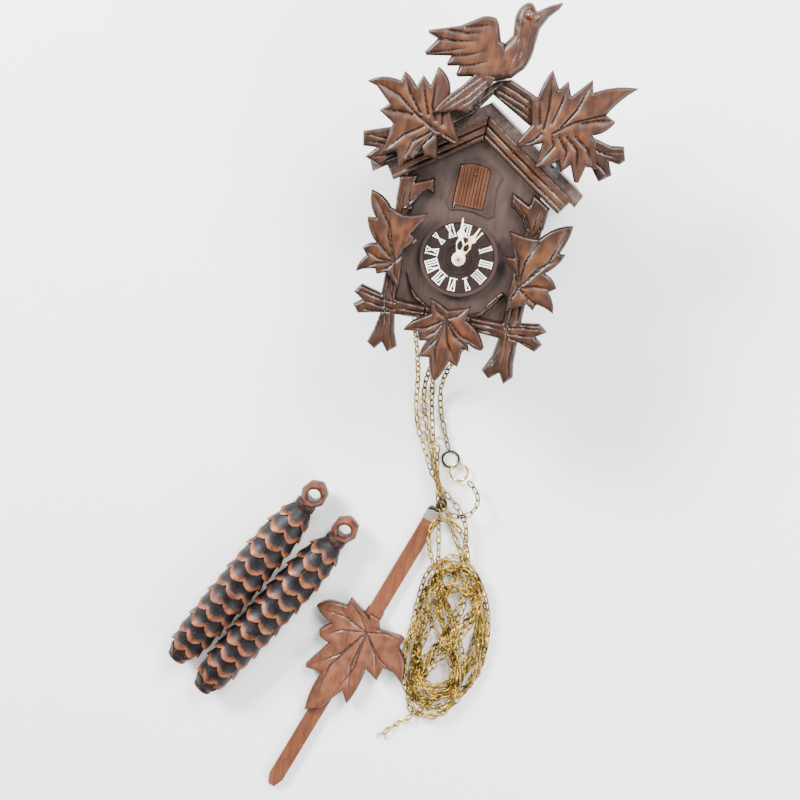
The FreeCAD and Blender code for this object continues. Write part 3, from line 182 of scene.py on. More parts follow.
def cone_iron():
    mat, nodes, links, shader = node_tree("cone_iron")
    place = coords(nodes, links, (1, 1, 1))
    fine = noise_node(nodes, links, place, 800, 6)
    broad = noise_node(nodes, links, place, 160, 4)
    high = attribute(nodes, "high")
    black = ramp(nodes, links, broad, [(0.35, (0.002, 0.002, 0.003)), (0.65, (0.009, 0.009, 0.012))])
    copper = ramp(nodes, links, broad, [(0.3, (0.06, 0.019, 0.008)), (0.7, (0.37, 0.118, 0.045))])
    wear_and_painted_highlight = nodes.new("ShaderNodeMath")
    wear_and_painted_highlight.operation = "MULTIPLY_ADD"
    links.new(fine, wear_and_painted_highlight.inputs[0])
    wear_and_painted_highlight.inputs[1].default_value = 0.7
    wear_and_painted_highlight.inputs[2].default_value = -0.37
    edge = nodes.new("ShaderNodeMath")
    edge.operation = "ADD"
    edge.use_clamp = True
    links.new(high, edge.inputs[0])
    links.new(wear_and_painted_highlight.outputs[0], edge.inputs[1])
    links.new(mix(nodes, links, edge.outputs[0], black, copper), shader.inputs["Base Color"])
    links.new(spread(nodes, links, fine, 0.34, 0.6), shader.inputs["Roughness"])
    shader.inputs["Metallic"].default_value = 0.4
    shader.inputs["Specular IOR Level"].default_value = 0.3
    bumps(nodes, links, shader, [(fine, 0.35, 0.0004)])
    return mat


def past(base, name, mask, limit, colour):
    """A copy of a material that takes another colour away from the piece's own origin.

    The distance is measured along the axes that mask keeps, and colour starts past limit."""
    mat = base.copy()
    mat.name = name
    nodes, links = mat.node_tree.nodes, mat.node_tree.links
    shader = nodes["Principled BSDF"]
    kept = nodes.new("ShaderNodeVectorMath")
    kept.operation = "MULTIPLY"
    kept.inputs[1].default_value = mask
    links.new(nodes.new("ShaderNodeTexCoord").outputs["Object"], kept.inputs[0])
    size = nodes.new("ShaderNodeVectorMath")
    size.operation = "LENGTH"
    links.new(kept.outputs["Vector"], size.inputs[0])
    step = spread(nodes, links, size.outputs["Value"], 0, 1)
    step.node.inputs["From Min"].default_value = limit - 0.0001
    step.node.inputs["From Max"].default_value = limit + 0.0001
    under = shader.inputs["Base Color"].links[0].from_socket
    links.new(mix(nodes, links, step, under, colour), shader.inputs["Base Color"])
    return mat


RED = ((0.012, 0.0036, 0.001), (0.04, 0.0115, 0.0032), (0.115, 0.037, 0.0095))
DARK = ((0.022, 0.012, 0.009), (0.04, 0.022, 0.017), (0.062, 0.036, 0.028))
M = {
    "carved": wood("carved_lime", *RED, coat=0.12, rough=(0.36, 0.54), bump=0.1, carved=True),
    "carved_dark": wood("carved_branch", (0.008, 0.003, 0.0012), (0.03, 0.010, 0.0038), (0.09, 0.032, 0.011),
                        coat=0.12, bump=0.3, carved=True),
    "bob": wood("carved_bob", (0.075, 0.025, 0.012), (0.13, 0.045, 0.022), (0.19, 0.074, 0.04),
                coat=0.12, bump=0.3, carved=True),
    "trim": wood("trim_wood", (0.022, 0.008, 0.004), (0.06, 0.024, 0.012), (0.12, 0.052, 0.028),
                 grain=(0.2, 1, 1), coat=0.3, bump=0.25, carved=True),
    "panel": wood("panel_wood", *DARK, coat=0.25, rough=(0.4, 0.6), bump=0.3, size=300),
    "case": wood("case_wood", *DARK, grain=(1, 0.15, 1), coat=0.15, rough=(0.45, 0.65), size=300),
    "roof": wood("roof_wood", (0.028, 0.015, 0.012), (0.075, 0.045, 0.036), (0.17, 0.12, 0.10),
                 grain=(1, 1, 0.12), coat=0.1, rough=(0.5, 0.75), bump=0.5, size=260),
    "door": wood("door_wood", (0.028, 0.0095, 0.004), (0.08, 0.028, 0.011), (0.135, 0.053, 0.022), coat=0.2),
    "surround": wood("surround_wood", (0.018, 0.009, 0.007), (0.034, 0.018, 0.014), (0.055, 0.03, 0.024),
                     coat=0.35),
    "dial": wood("dial_wood", (0.008, 0.004, 0.003), (0.017, 0.008, 0.006), (0.03, 0.015, 0.011), coat=0.35,
                 rough=(0.25, 0.4), bump=0.12),
    "stick": wood("stick_wood", (0.07, 0.022, 0.010), (0.14, 0.047, 0.022), (0.21, 0.082, 0.043), coat=0.12,
                  turn=(0, 0, radians(-18)), bump=0.3),
    "board": wood("back_board", (0.16, 0.09, 0.045), (0.3, 0.19, 0.11), (0.42, 0.29, 0.18), coat=0.0,
                  rough=(0.6, 0.8), bump=0.3, size=260),
    "pipe": wood("pipe_wood", (0.3, 0.18, 0.08), (0.45, 0.3, 0.16), (0.6, 0.43, 0.26), coat=0.0,
                 rough=(0.5, 0.7)),
    "brass": metal("brass", (0.72, 0.5, 0.17), (0.5, 0.33, 0.1)),
    "ring": metal("ring_brass", (0.85, 0.62, 0.25), (0.6, 0.42, 0.14), (0.18, 0.35)),
    "chain": metal("chain_brass", (0.6, 0.4, 0.09), (0.09, 0.055, 0.012), (0.2, 0.42), size=600),
    "chain_dark": metal("chain_dark", (0.34, 0.24, 0.07), (0.05, 0.036, 0.014), (0.25, 0.45), size=600),
    "steel": metal("plate_steel", (0.3, 0.29, 0.27), (0.12, 0.12, 0.11), (0.3, 0.5)),
    "black": metal("black_steel", (0.06, 0.06, 0.062), (0.02, 0.02, 0.02), (0.3, 0.5)),
    "wire": metal("wire_steel", (0.7, 0.66, 0.56), (0.45, 0.42, 0.36), (0.2, 0.4)),
    "ivory": paint("ivory", (0.86, 0.84, 0.78), (0.74, 0.70, 0.62)),
    "cream": paint("cream", (0.88, 0.74, 0.42), (0.75, 0.6, 0.32)),
    "numeral": paint("numeral_white", (0.88, 0.87, 0.84), (0.75, 0.74, 0.7), 0.5),
    "bead": paint("red_bead", (0.11, 0.008, 0.006), (0.05, 0.004, 0.003), 0.3, 0.3),
    "cuckoo": paint("cuckoo_paint", (0.16, 0.09, 0.05), (0.07, 0.04, 0.025), 0.5),
    "cone": cone_iron(),
    "floor": paint("floor", (0.93, 0.93, 0.93), (0.92, 0.92, 0.92), 0.8, 0.0, 40),
}
M["dial_edged"] = past(M["dial"], "dial_edged", (1, 1, 0), 0.0204, (0.034, 0.019, 0.014))
M["clip"] = past(M["black"], "clip", (0, 1, 0), 0.1745, (0.6, 0.57, 0.5))
M["hub"] = past(M["dial"], "hub", (1, 1, 0), 0.0011, (0.7, 0.56, 0.28))


# ---- carving ------------------------------------------------------------------------------
def trace(outline, step):
    """The outline as close points, its third numbers turned into bowed edges."""
    area = sum(a[0] * b[1] - b[0] * a[1] for a, b in zip(outline, outline[1:] + outline[:1]))
    side = 1 if area > 0 else -1
    out = []
    for p, q in zip(outline, outline[1:] + outline[:1]):
        dx, dy = q[0] - p[0], q[1] - p[1]
        length = hypot(dx, dy)
        bow = (p[2] if len(p) > 2 else 0) * side
        count = max(1, round(length / step))
        for k in range(count):
            t = k / count
            lift = 4 * t * (1 - t) * bow
            out.append((p[0] + dx * t + dy * lift, p[1] + dy * t - dx * lift))
    return np.array(out)


def to_segments(points, a, b):
    """Distance of every point to every segment a-b, and where along the segment it is nearest."""
    d = b - a
    rel = points[:, None, :] - a[None]
    t = np.clip((rel * d).sum(2) / np.maximum((d * d).sum(1), 1e-9), 0, 1)
    gap = rel - t[..., None] * d[None]
    return np.sqrt((gap * gap).sum(2)), t


def edge_distance(points, ring):
    best = np.full(len(points), 1e9)
    a, b = ring, np.roll(ring, -1, axis=0)
    for k in range(0, len(points), 4000):
        dist, _ = to_segments(points[k:k + 4000], a, b)
        best[k:k + 4000] = dist.min(1)
    return best


def inside(points, ring):
    x, y = points[:, 0], points[:, 1]
    hit = np.zeros(len(points), bool)
    for (x0, y0), (x1, y1) in zip(ring, np.roll(ring, -1, axis=0)):
        if y0 == y1:
            continue
        cross = (y0 > y) != (y1 > y)
        hit ^= cross & (x < (x1 - x0) * (y - y0) / (y1 - y0) + x0)
    return hit


def smooth(x):
    x = np.clip(x, 0, 1)
    return x * x * (3 - 2 * x)


def cut_depth(points, cuts):
    """Depth of the carved grooves, and the distance to the nearest one."""
    depth = np.zeros(len(points))
    near = np.full(len(points), 1e9)
    for line, width, deep in cuts:
        at = np.array(line, float)
        dist, t = to_segments(points, at[:-1], at[1:])
        runs = np.hypot(*(at[1:] - at[:-1]).T)
        start = np.concatenate([[0], np.cumsum(runs)[:-1]])
        pick = dist.argmin(1)
        rows = np.arange(len(points))
        gap = dist[rows, pick]
        along = (start[pick] + t[rows, pick] * runs[pick]) / runs.sum()
        fade = 1 - 0.75 * smooth((along - 0.55) / 0.45)
        depth = np.maximum(depth, deep * fade * np.clip(1 - gap / width, 0, 1) ** 1.2)
        near = np.minimum(near, gap)
    return depth, near


def new_object(name, verts, faces, material, attributes=None, sharp=35):
    mesh = bpy.data.meshes.new(name)
    mesh.from_pydata([tuple(v) for v in verts], [], faces)
    mesh.update()
    for key, values in (attributes or {}).items():
        layer = mesh.attributes.new(key, "FLOAT", "POINT")
        layer.data.foreach_set("value", np.asarray(values, dtype=np.float32))
    mesh.materials.append(material)
    mesh.shade_smooth()
    mesh.set_sharp_from_angle(angle=radians(sharp))
    obj = bpy.data.objects.new(name, mesh)
    bpy.context.scene.collection.objects.link(obj)
    return obj


def join(objects, name):
    """One object out of several, keeping their attributes."""
    bpy.ops.object.select_all(action="DESELECT")
    for o in objects:
        o.select_set(True)
    bpy.context.view_layer.objects.active = objects[0]
    bpy.ops.object.join()
    objects[0].name = name
    objects[0].data.name = name
    return objects[0]


def relief(name, outline, z0, z1, material, cuts=(), edge=2.6, rim=0.4, dome=0.0, lobe=5.0, step=0.75,
           grain=0.12, seed=1):
    """A carving: flat back at z0, sides up to the rim, and a rounded, grooved front up to z1."""
    ring = trace(outline, step)
    lo, hi = ring.min(0), ring.max(0)
    rows = []
    pitch = step * 0.87
    count = int((hi[1] - lo[1]) / pitch) + 1
    for j in range(count):
        xs = np.arange(lo[0] + (step / 2 if j % 2 else 0), hi[0], step)
        rows.append(np.stack([xs, np.full(len(xs), lo[1] + j * pitch)], 1))
    grid = np.concatenate(rows)
    grid = grid[inside(grid, ring)]
    grid = grid[edge_distance(grid, ring) > step * 0.45]
    points = [Vector(p) for p in np.concatenate([ring, grid])]
    n = len(ring)
    out = delaunay_2d_cdt(points, [], [list(range(n))], 1, 1e-6)
    xy = np.array([tuple(v) for v in out[0]])
    came = [o[0] if o else -1 for o in out[3]]
    rank = {c: k for k, c in enumerate(came) if 0 <= c < n}
    border = [rank[k] for k in range(n) if k in rank]
    d = edge_distance(xy, ring)
    thick = z1 - z0
    curve = np.sqrt(np.clip(1 - (1 - np.clip(d / edge, 0, 1)) ** 2, 0, 1))
    top = thick * (rim + (1 - rim) * curve)
    depth, near = cut_depth(xy, cuts) if cuts else (np.zeros(len(xy)), np.full(len(xy), 99.0))
    if dome:
        top -= dome * (1 - smooth(near / lobe)) * curve
    rough = np.array([noise.noise(Vector((x * 0.16 + seed, y * 0.16, seed))) for x, y in xy])
    top += rough * grain * 2.2 * curve - np.minimum(depth, top * 0.75)
    top = np.clip(top, 0.3, thick * 1.02)
    verts = [(x * MM, y * MM, (z0 + t) * MM) for (x, y), t in zip(xy, top)]
    faces = [tuple(f) for f in out[2]]
    base = len(verts)
    verts += [(xy[k][0] * MM, xy[k][1] * MM, z0 * MM) for k in border]
    m = len(border)
    for k in range(m):
        a, b = border[k], border[(k + 1) % m]
        faces.append((a, base + k, base + (k + 1) % m, b))
    faces.append(tuple(base + k for k in range(m)))
    # Colour attributes: deep is painted shade in the grooves, in a thin line along the outline and on the
    # side walls, and it also darkens the colour towards the outline. high is a painted highlight on the
    # raised middle, away from the outline and the grooves.
    deep = np.clip(depth / 1.0, 0, 1) * 0.85
    deep = np.maximum(deep, 0.55 * np.clip(1 - d / 0.7, 0, 1) + 0.28 * (1 - smooth(d / 5.0)))
    ridge = 0.5 * smooth((d - 2.0) / 5.0) * np.clip(0.45 + rough * 1.8, 0, 1) * (depth < 0.1)
    deep = np.concatenate([deep, np.full(m, 0.55)])
    ridge = np.concatenate([ridge, np.zeros(m)])
    obj = new_object(name, verts, faces, material, {"deep": deep, "high": ridge}, 48)
    bpy.context.view_layer.objects.active = obj
    obj.select_set(True)
    bpy.ops.object.mode_set(mode="EDIT")
    bpy.ops.mesh.select_all(action="SELECT")
    bpy.ops.mesh.normals_make_consistent(inside=False)
    bpy.ops.object.mode_set(mode="OBJECT")
    obj.select_set(False)
    return obj


def strokes(lines, width, deep):
    return [(line, width, deep) for line in lines]


# ---- outlines and routes, in millimetres ---------------------------------------------------
LEAF_LEFT = [
    (-55.6, 28, 0.1), (-43, 20.6), (-36, 18.2), (-30.8, 18.6), (-22.2, 21.8), (-23, 17.5),
    (-29, 8.5), (-24.3, 5.8), (-26, 3.2), (-31.5, -1.2), (-30.4, -12), (-29.8, -24), (-38, -15.6),
    (-43.8, -17.9), (-45, -15.2, -0.08), (-55.6, -19, 0.1), (-51.4, -8.6), (-54.3, -4.8, 0.15),
    (-47, -0.8, 0.08), (-55, 12.7), (-50.2, 13.2, 0.1),
]
LEAF_RIGHT = [
    (59, 31.1, 0.1), (42, 20), (33, 20.2), (24.2, 21.4), (28.5, 13), (30.5, 7.2), (24.3, 6.8),
    (26.5, 4), (32.3, -1.2), (31.6, -12), (32, -23.9), (43, -17.2), (47.2, -20), (48.4, -16.3, -0.06),
    (58.8, -19.5, 0.1), (53.4, -8), (57.6, -5, 0.12), (49, 2, 0.08), (58.3, 14.6), (54.6, 14.4, 0.06),
]
LEAF_BOTTOM = [
    (0.8, -72.2, 0.06), (7, -58.8), (12, -60.9, 0.06), (12.4, -49.3), (16.9, -50.9), (15, -45.9, 0.1),
    (23.6, -48.6), (24.6, -46.8, 0.1), (11.6, -33.2), (12.7, -24.6), (10.4, -26.6), (0, -29.8, 0.05),
    (-11, -25.2), (-8.8, -33.5), (-17.8, -39.4, 0.05), (-22.4, -46.3), (-14.4, -45.3), (-12.2, -50.4),
    (-8, -49.4, 0.06), (-10.9, -59.6), (-4.9, -58.7, 0.06),
]
STUB_LEFT = [
    (-41.8, 38.5), (-41.6, 25), (-38, 19.4), (-31.3, 20.8, -0.12), (-25, 33.3), (-20.8, 32.4),
    (-22.3, 41.6), (-32.6, 37), (-31.4, 41.5),
]
STUB_RIGHT = [
    (44.2, 37.5), (43.6, 25.4), (37.5, 18, 0.05), (29.5, 30), (22.6, 34.4), (22, 42.3),
    (32.6, 37.2), (33.8, 43.8),
]
CROSS_LEFT = [
    (-39.6, -14), (-30.3, -14), (-30.4, -30.4), (-12, -31), (-12, -38.6), (-29.4, -39.4),
    (-27.4, -50), (-24.5, -57.6), (-29.5, -62), (-33.4, -56.8), (-37, -61.6), (-42, -58.4),
    (-39.4, -50), (-37.6, -40), (-50.4, -43.1), (-54.1, -38.4), (-49.4, -34.8), (-54.9, -31.4),
    (-51.5, -26.2), (-39.2, -29.2),
]
CROSS_RIGHT = [
    (42.8, -16.5), (42.6, -29.4), (53, -27.7), (58.4, -31.4), (52.4, -35.3), (57.1, -39),
    (53.6, -44.1), (43, -40.6), (43.4, -53), (44.8, -61.2), (40, -66.3), (36.5, -60.3), (31, -65.1),
    (26.3, -60.8), (30.2, -52), (31.8, -40.6), (13, -39.6), (13, -31.4), (32, -31), (31.8, -16.5),
]
TENDRIL_LEFT = [
    (-27.3, -14.2, -0.06), (-18.8, -26.6), (-8, -33), (-8, -35.5), (-20.8, -28.6, 0.02),
]
TENDRIL_RIGHT = [
    (28.4, -14.2, 0.06), (19, -28), (10, -31.8), (10, -35), (18.6, -31.6), (30.3, -16),
]
CROWN_LEAF_RIGHT = [
    (19, 67.2), (31.8, 72.2), (30.8, 58.4), (36, 59.6), (42.6, 64.9), (45.2, 58.8), (49.6, 64),
    (53.6, 55.2), (56, 55.2), (58, 64.6), (63.9, 64.6), (60.2, 79.5), (58, 82, 0.12), (68.4, 91.6),
    (62.8, 94, -0.05), (76.9, 111.4, 0.07), (53, 104.4), (51.3, 111.2), (41.8, 100.2), (38.6, 107.8),
    (34.6, 102.6), (29, 112, 0.05), (24, 96.6), (20.4, 95), (24, 81), (18.2, 70.6),
]
CROWN_LEAF_LEFT = [
    (-18, 73), (-12.4, 62.8), (-16, 61.8), (-25.4, 65), (-22.6, 52), (-30, 52.4), (-33, 56.5),
    (-36, 49.6), (-38.5, 50), (-42.4, 43.6), (-46, 52), (-53.6, 49.4), (-51, 66.6), (-59.7, 72),
    (-55, 76.5), (-63.5, 84.4), (-69.3, 86, 0.12), (-51.2, 90), (-50, 95.4, 0.06), (-42, 88.8),
    (-39.6, 95.4), (-34.6, 90.8), (-32.4, 101.4, 0.14), (-23, 88.5), (-21, 79),
]
CROWN_ARM_RIGHT = [
    (0, 92.4), (22, 80.6), (46, 71), (61.5, 64.6), (67, 57.8), (73.4, 62.8), (70.2, 70), (76, 69.2),
    (78.9, 72), (76.4, 79.6), (69, 78.6), (60, 80.8), (40, 88.5), (24, 96.2), (8, 102.6), (0.5, 100.6),
]
CROWN_ARM_LEFT = [
    (8, 102.6), (0.5, 100.6), (-5.4, 95), (-10, 84), (-24, 80), (-40, 71), (-51.2, 64.6), (-66.8, 59),
    (-65.2, 50.8), (-57.6, 51.4), (-63.1, 45.2), (-54.6, 41.8), (-46, 50), (-30, 60), (-16, 66),
    (-17.6, 73), (-9, 79.6), (0, 92.4),
]
LEAF_BOB = [
    (-23.5, -244.5), (-11.5, -254), (-2, -262.4), (14, -263.4), (16.8, -265.4), (14, -272, 0.08),
    (20.6, -283.5), (21.8, -298, -0.05), (13.5, -290), (6.8, -288.2), (4.3, -298.2), (-4.4, -291.4, 0.05),
    (-12.5, -319.2), (-16.8, -310.2), (-29, -325.4), (-39.4, -329.6, 0.05), (-33, -300.5),
    (-44, -299.6), (-44.4, -297), (-32, -279, 0.05), (-39.2, -275.6), (-40, -271.4), (-33, -264.6, 0.1),
    (-44.9, -255, 0.14), (-32, -250), (-25.2, -250.8),
]
TIME_WEIGHT_ROUTE = [
    (-20.0, -33, 47), (-19.7, -43, 43.5), (-17.9, -54, 36), (-15.2, -65, 26.6), (-12.8, -76, 17.8),
    (-10.8, -86, 10.5), (-9.6, -96, 5), (-8.6, -106, 2.6), (-6.6, -115, 1.9), (-3.4, -124, 2.3),
    (0.6, -131.4, 4.0), (4.2, -137.0, 6.4),
]
STRIKE_WEIGHT_ROUTE = [
    (6.0, -33, 47), (5.7, -43, 42.5), (3.4, -54, 34), (0.3, -65, 24.2), (-2.6, -76, 15),
    (-4.8, -86, 7.6), (-5.2, -96, 3.4), (-3.4, -107, 1.9), (-0.2, -117, 1.8), (3.6, -127, 1.9),
    (7.8, -136.4, 1.8),
]
TIME_RING_ROUTE = [
    (-6.0, -33, 47), (-5.8, -43, 46), (-5.2, -54, 41), (-4.2, -65, 33.4), (-2.8, -76, 24),
    (-1.2, -86, 14.8), (0.2, -96, 7.6), (2.0, -107, 4.0), (4.6, -117.5, 4.8), (7.4, -127.6, 8.6),
    (10.0, -137.4, 12.4), (13.2, -147, 12.7), (16.6, -155.2, 12.5), (19.8, -162.6, 12.5),
    (23.0, -169.4, 12.5), (29.2, -173.4, 12.5), (36.6, -172.8, 12.5), (42.4, -168, 12.5),
    (44.4, -160.8, 12.1), (41.6, -153.9, 10.4), (35.4, -150.2, 7.8),
]
STRIKE_RING_ROUTE = [
    (20.0, -33, 47), (19.4, -43, 45), (16.2, -54, 38), (12.0, -65, 29), (8.0, -76, 19.8),
    (5.6, -86, 11.6), (5.4, -96, 5.4), (7.4, -106, 2.6), (10.6, -115.5, 1.9), (14.4, -124, 2.2),
    (17.2, -130.4, 1.9), (18.4, -133.2, 1.9),
]


GROOVE = (0.9, 1.0)        # width and depth of a carved vein, mm
BARK = (0.8, 0.9)          # the same for a line along a branch
ARM_THICK = 5.0
BOB_THICK = 5.0


# ---- front carvings -----------------------------------------------------------------------
def level(node):
    """Back and front of a node, in millimetres."""
    lo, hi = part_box(node)
    return lo[2] / MM, hi[2] / MM


def place(obj, *nodes, body="case", slot=None):
    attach(obj, body)
    if nodes:
        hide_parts(*nodes)
    return obj


def fan(base, tips, width, deep, bend=0.08):
    """Veins from one base point, each slightly bowed."""
    cuts = []
    for k, (x, y) in enumerate(tips):
        dx, dy = x - base[0], y - base[1]
        side = bend if k % 2 else -bend
        mid = (base[0] + dx * 0.5 - dy * side, base[1] + dy * 0.5 + dx * side)
        cuts.append(([base, mid, (base[0] + dx * 0.93, base[1] + dy * 0.93)], width, deep))
    return cuts


def leaf(node, outline, cuts, seed, edge=1.8):
    """A carved leaf of the front or crown, in place of its CAD node."""
    z0, z1 = level(node)
    obj = relief(node + "_carved", outline, z0, z1, M["carved"], cuts, edge=edge, rim=0.7, dome=0.55,
                 lobe=3.4, step=0.55, seed=seed)
    return place(obj, node, slot="carving_wood")


leaf("leaf_left", LEAF_LEFT,
     fan((-35, -9), [(-54, 27), (-43, 20), (-23, 21), (-54, 11.5), (-26, 5.5), (-53, -6), (-54, -17.5),
                     (-43.5, -16.5), (-30, -22)], *GROOVE), 1)
leaf("leaf_right", LEAF_RIGHT,
     fan((36.5, -9), [(57.5, 30), (42, 19.5), (25.5, 20.5), (56.5, 13), (26, 6.5), (55.5, -6),
                      (57, -18.5), (46.5, -18), (33, -23)], *GROOVE), 2)
leaf("leaf_bottom", LEAF_BOTTOM,
     fan((0.3, -35), [(0.6, -71), (-10, -58.5), (11, -59.5), (-11.5, -49.5), (16, -49.5), (-21.5, -45.6),
                      (23.8, -47.5), (-9, -27), (11.5, -26)], *GROOVE), 3)

CROWN_RIGHT_CUTS = strokes([
    [(36, 78.5), (46, 86.5), (62, 94), (75.5, 110.5)],
    [(39.8, 82.4), (46.4, 93.6), (51.6, 110)],
    [(34.8, 84), (37.6, 96), (38.6, 106)],
    [(30.9, 80), (31.4, 91), (29.4, 110.5)],
    [(50.5, 87), (58, 90), (67, 91.6)],
    [(28.5, 82), (25.6, 94)],
    [(36.4, 77), (38.4, 72), (32, 60.5)],
    [(40, 77.5), (46, 70.5), (45.2, 60.5)],
    [(44, 78.5), (51.5, 72.5), (54.8, 57)],
    [(48.5, 79.5), (57, 74), (61, 66.5)],
    [(30, 77), (26, 72), (20, 68.2)],
], *GROOVE)
CROWN_LEFT_CUTS = strokes([
    [(-25.5, 66.8), (-39.6, 74.3), (-50.1, 82.1), (-67.5, 87.2)],
    [(-40.7, 73.4), (-48, 73.8), (-58.5, 72.4)],
    [(-37, 75), (-44, 84), (-49.8, 94.4)],
    [(-32.5, 75), (-36, 84), (-39.4, 94)],
    [(-28, 72.5), (-31.2, 80), (-32.2, 99.5)],
    [(-24, 71), (-25.5, 79), (-23, 87)],
    [(-34, 68.4), (-44, 61.5), (-53, 50.5)],
    [(-30, 65.8), (-38.4, 59), (-42.3, 45)],
    [(-28, 64.5), (-34.4, 55.5), (-36.8, 50.5)],
    [(-22, 66), (-17, 64.6), (-13.2, 63)],
], *GROOVE)
leaf("crown_leaf_right", CROWN_LEAF_RIGHT, CROWN_RIGHT_CUTS, 4, edge=2.0)
leaf("crown_leaf_left", CROWN_LEAF_LEFT, CROWN_LEFT_CUTS, 5, edge=2.0)


def branch(name, outline, z0, z1, cuts, seed, edge=2.0):
    return relief(name, outline, z0, z1, M["carved_dark"], cuts, edge=edge, rim=0.6, step=0.6,
                  grain=0.22, seed=seed)


B0, B1 = level("branch_frame")
frame_parts = [
    branch("cross_left", CROSS_LEFT, B0, B1, strokes([
        [(-36, -15), (-36.5, -30), (-33.5, -44), (-33.4, -56)], [(-33.6, -15), (-33, -28), (-30, -38)],
        [(-30.5, -32.5), (-40, -32), (-53, -29.5)], [(-30, -36.5), (-41, -35.8), (-50, -34.9)],
        [(-33, -38.5), (-44, -40), (-52, -40.5)], [(-36.6, -42), (-37.6, -50), (-39.5, -59)],
        [(-31, -42), (-30, -50), (-27, -59)], [(-12, -34.5), (-24, -35), (-31, -35.4)],
        [(-12, -36.8), (-28, -37.8)]], *BARK), 11),
    branch("cross_right", CROSS_RIGHT, B0, B1, strokes([
        [(36, -17), (35.6, -30), (36.8, -46), (36.5, -59)], [(39.5, -17), (39.8, -28), (37, -36)],
        [(34, -33.5), (44, -31.5), (56, -30.6)], [(35, -36.5), (45, -36), (52, -35.3)],
        [(38, -39), (46, -40), (54.5, -41.5)], [(33.8, -44), (32.6, -52), (29, -61)],
        [(40, -44), (40.2, -53), (42.4, -61.5)], [(13, -34.5), (24, -34.6), (33, -35)],
        [(13, -37.2), (30, -38)]], *BARK), 12),
    branch("bar", [(-13, -38.8), (14, -40.2), (14, -31), (-13, -30.6)], B0, B1,
           strokes([[(-13, -34.5), (14, -34.5)], [(-13, -37), (14, -37.4)]], *BARK), 13),
    branch("spine_left", [(-41.4, 26), (-33, 24), (-31, -15), (-39.6, -16)], B0, B1 - 0.6,
           strokes([[(-37, 26), (-35.4, -15)]], *BARK), 14),
    branch("spine_right", [(42.8, 26), (33.5, 24), (32, -18), (42.6, -18)], B0, B1 - 0.6,
           strokes([[(38.4, 26), (37.4, -18)]], *BARK), 15),
    branch("stub_left", STUB_LEFT, B0, B1, strokes([
        [(-37.4, 20), (-37.4, 37)], [(-34, 21.5), (-34.6, 37)], [(-36, 22), (-31.4, 28), (-23, 37.6)],
        [(-33, 22), (-28.4, 28.6), (-21.8, 34)]], *BARK), 16),
    branch("stub_right", STUB_RIGHT, B0, B1, strokes([
        [(37.4, 19), (38.6, 38)], [(41, 23), (41.4, 37.5)], [(37, 21), (32, 31), (23, 39)],
        [(34.6, 24), (29.6, 31.5), (23, 36.2)]], *BARK), 17),
    branch("tendril_left", TENDRIL_LEFT, B0, B1 - 3.4, (), 18, edge=1.2),
    branch("tendril_right", TENDRIL_RIGHT, B0, B1 - 3.4, (), 19, edge=1.2),
]
place(join(frame_parts, "branches_carved"), "branch_frame", slot="carving_wood")

CROWN_BACK, C1 = level("crown_branches")
C0 = C1 - ARM_THICK
crown_parts = [
    branch("arm_right", CROWN_ARM_RIGHT, C0, C1, strokes([
        [(1, 96), (16, 91), (24, 87), (46, 78), (58, 73), (76, 76)], [(3, 99.5), (14, 95.6), (24, 91)],
        [(4, 92), (16, 87.4), (26, 82.6)], [(55, 72.6), (66, 66), (71, 62)],
        [(56, 75.5), (66, 73.6), (74, 72.4)], [(50, 73), (60, 67.5), (67, 60)]], *BARK), 21),
    branch("arm_left", CROWN_ARM_LEFT, C0, C1, strokes([
        [(4, 99), (-4, 90), (-12, 80), (-18, 76)], [(1, 93.5), (-7, 84.5), (-15, 77.5)],
        [(-46, 58.5), (-56, 57.2), (-65, 57.5)], [(-46, 54.5), (-56, 54.4), (-64, 53.4)],
        [(-46, 51.5), (-54, 47.5), (-61, 45.4)]], *BARK), 22),
]
spacer = [(-23, 66), (-18.4, 69), (-18.4, 74), (-23, 71.5)]
crown_parts.append(branch("spacer", spacer, CROWN_BACK, C0 + 0.5, (), 24))
place(join(crown_parts, "crown_branches_carved"), "crown_branches", slot="carving_wood")


# ---- the bird on top ----------------------------------------------------------------------
BODY = [
    (26.8, 146.6), (25.4, 143.6), (20.8, 138.4), (17.4, 131.5), (16.7, 122, 0.06), (13.8, 109.4),
    (7.8, 103), (-1, 99.5), (-8, 95), (-14, 98.5), (-13, 106), (-5, 114), (0.2, 120.4), (3.6, 125.4),
    (2.8, 134.6, 0.12), (7.6, 143.8, 0.1), (11, 143.8), (13.8, 140.4), (20, 144.6), (26, 147.4),
]
TAIL = [
    (-11, 103), (0, 102), (-1, 99.5), (-4.6, 94), (-8, 87), (-10.2, 82), (-13.5, 80), (-18, 80.2),
    (-24, 77.8), (-30.5, 76.4), (-28.5, 81), (-23, 88.5), (-17.5, 94),
]
WING = [
    (0.6, 120.6, -0.05), (6, 112), (4, 103), (-6, 99.6), (-13.4, 99.8), (-21, 98), (-22.4, 99.2),
    (-21.4, 103.9), (-27.6, 102.6), (-28.5, 103.8), (-26.8, 108.2), (-40.4, 105.9), (-41.4, 107.6),
    (-36, 115.7), (-41.2, 117.5), (-41.9, 119.2), (-25, 125), (-15, 131.6, 0.1), (-6.6, 132.4),
    (-4.6, 129.4), (-1.8, 121.2),
]
P0, P1 = level("crown_bird")
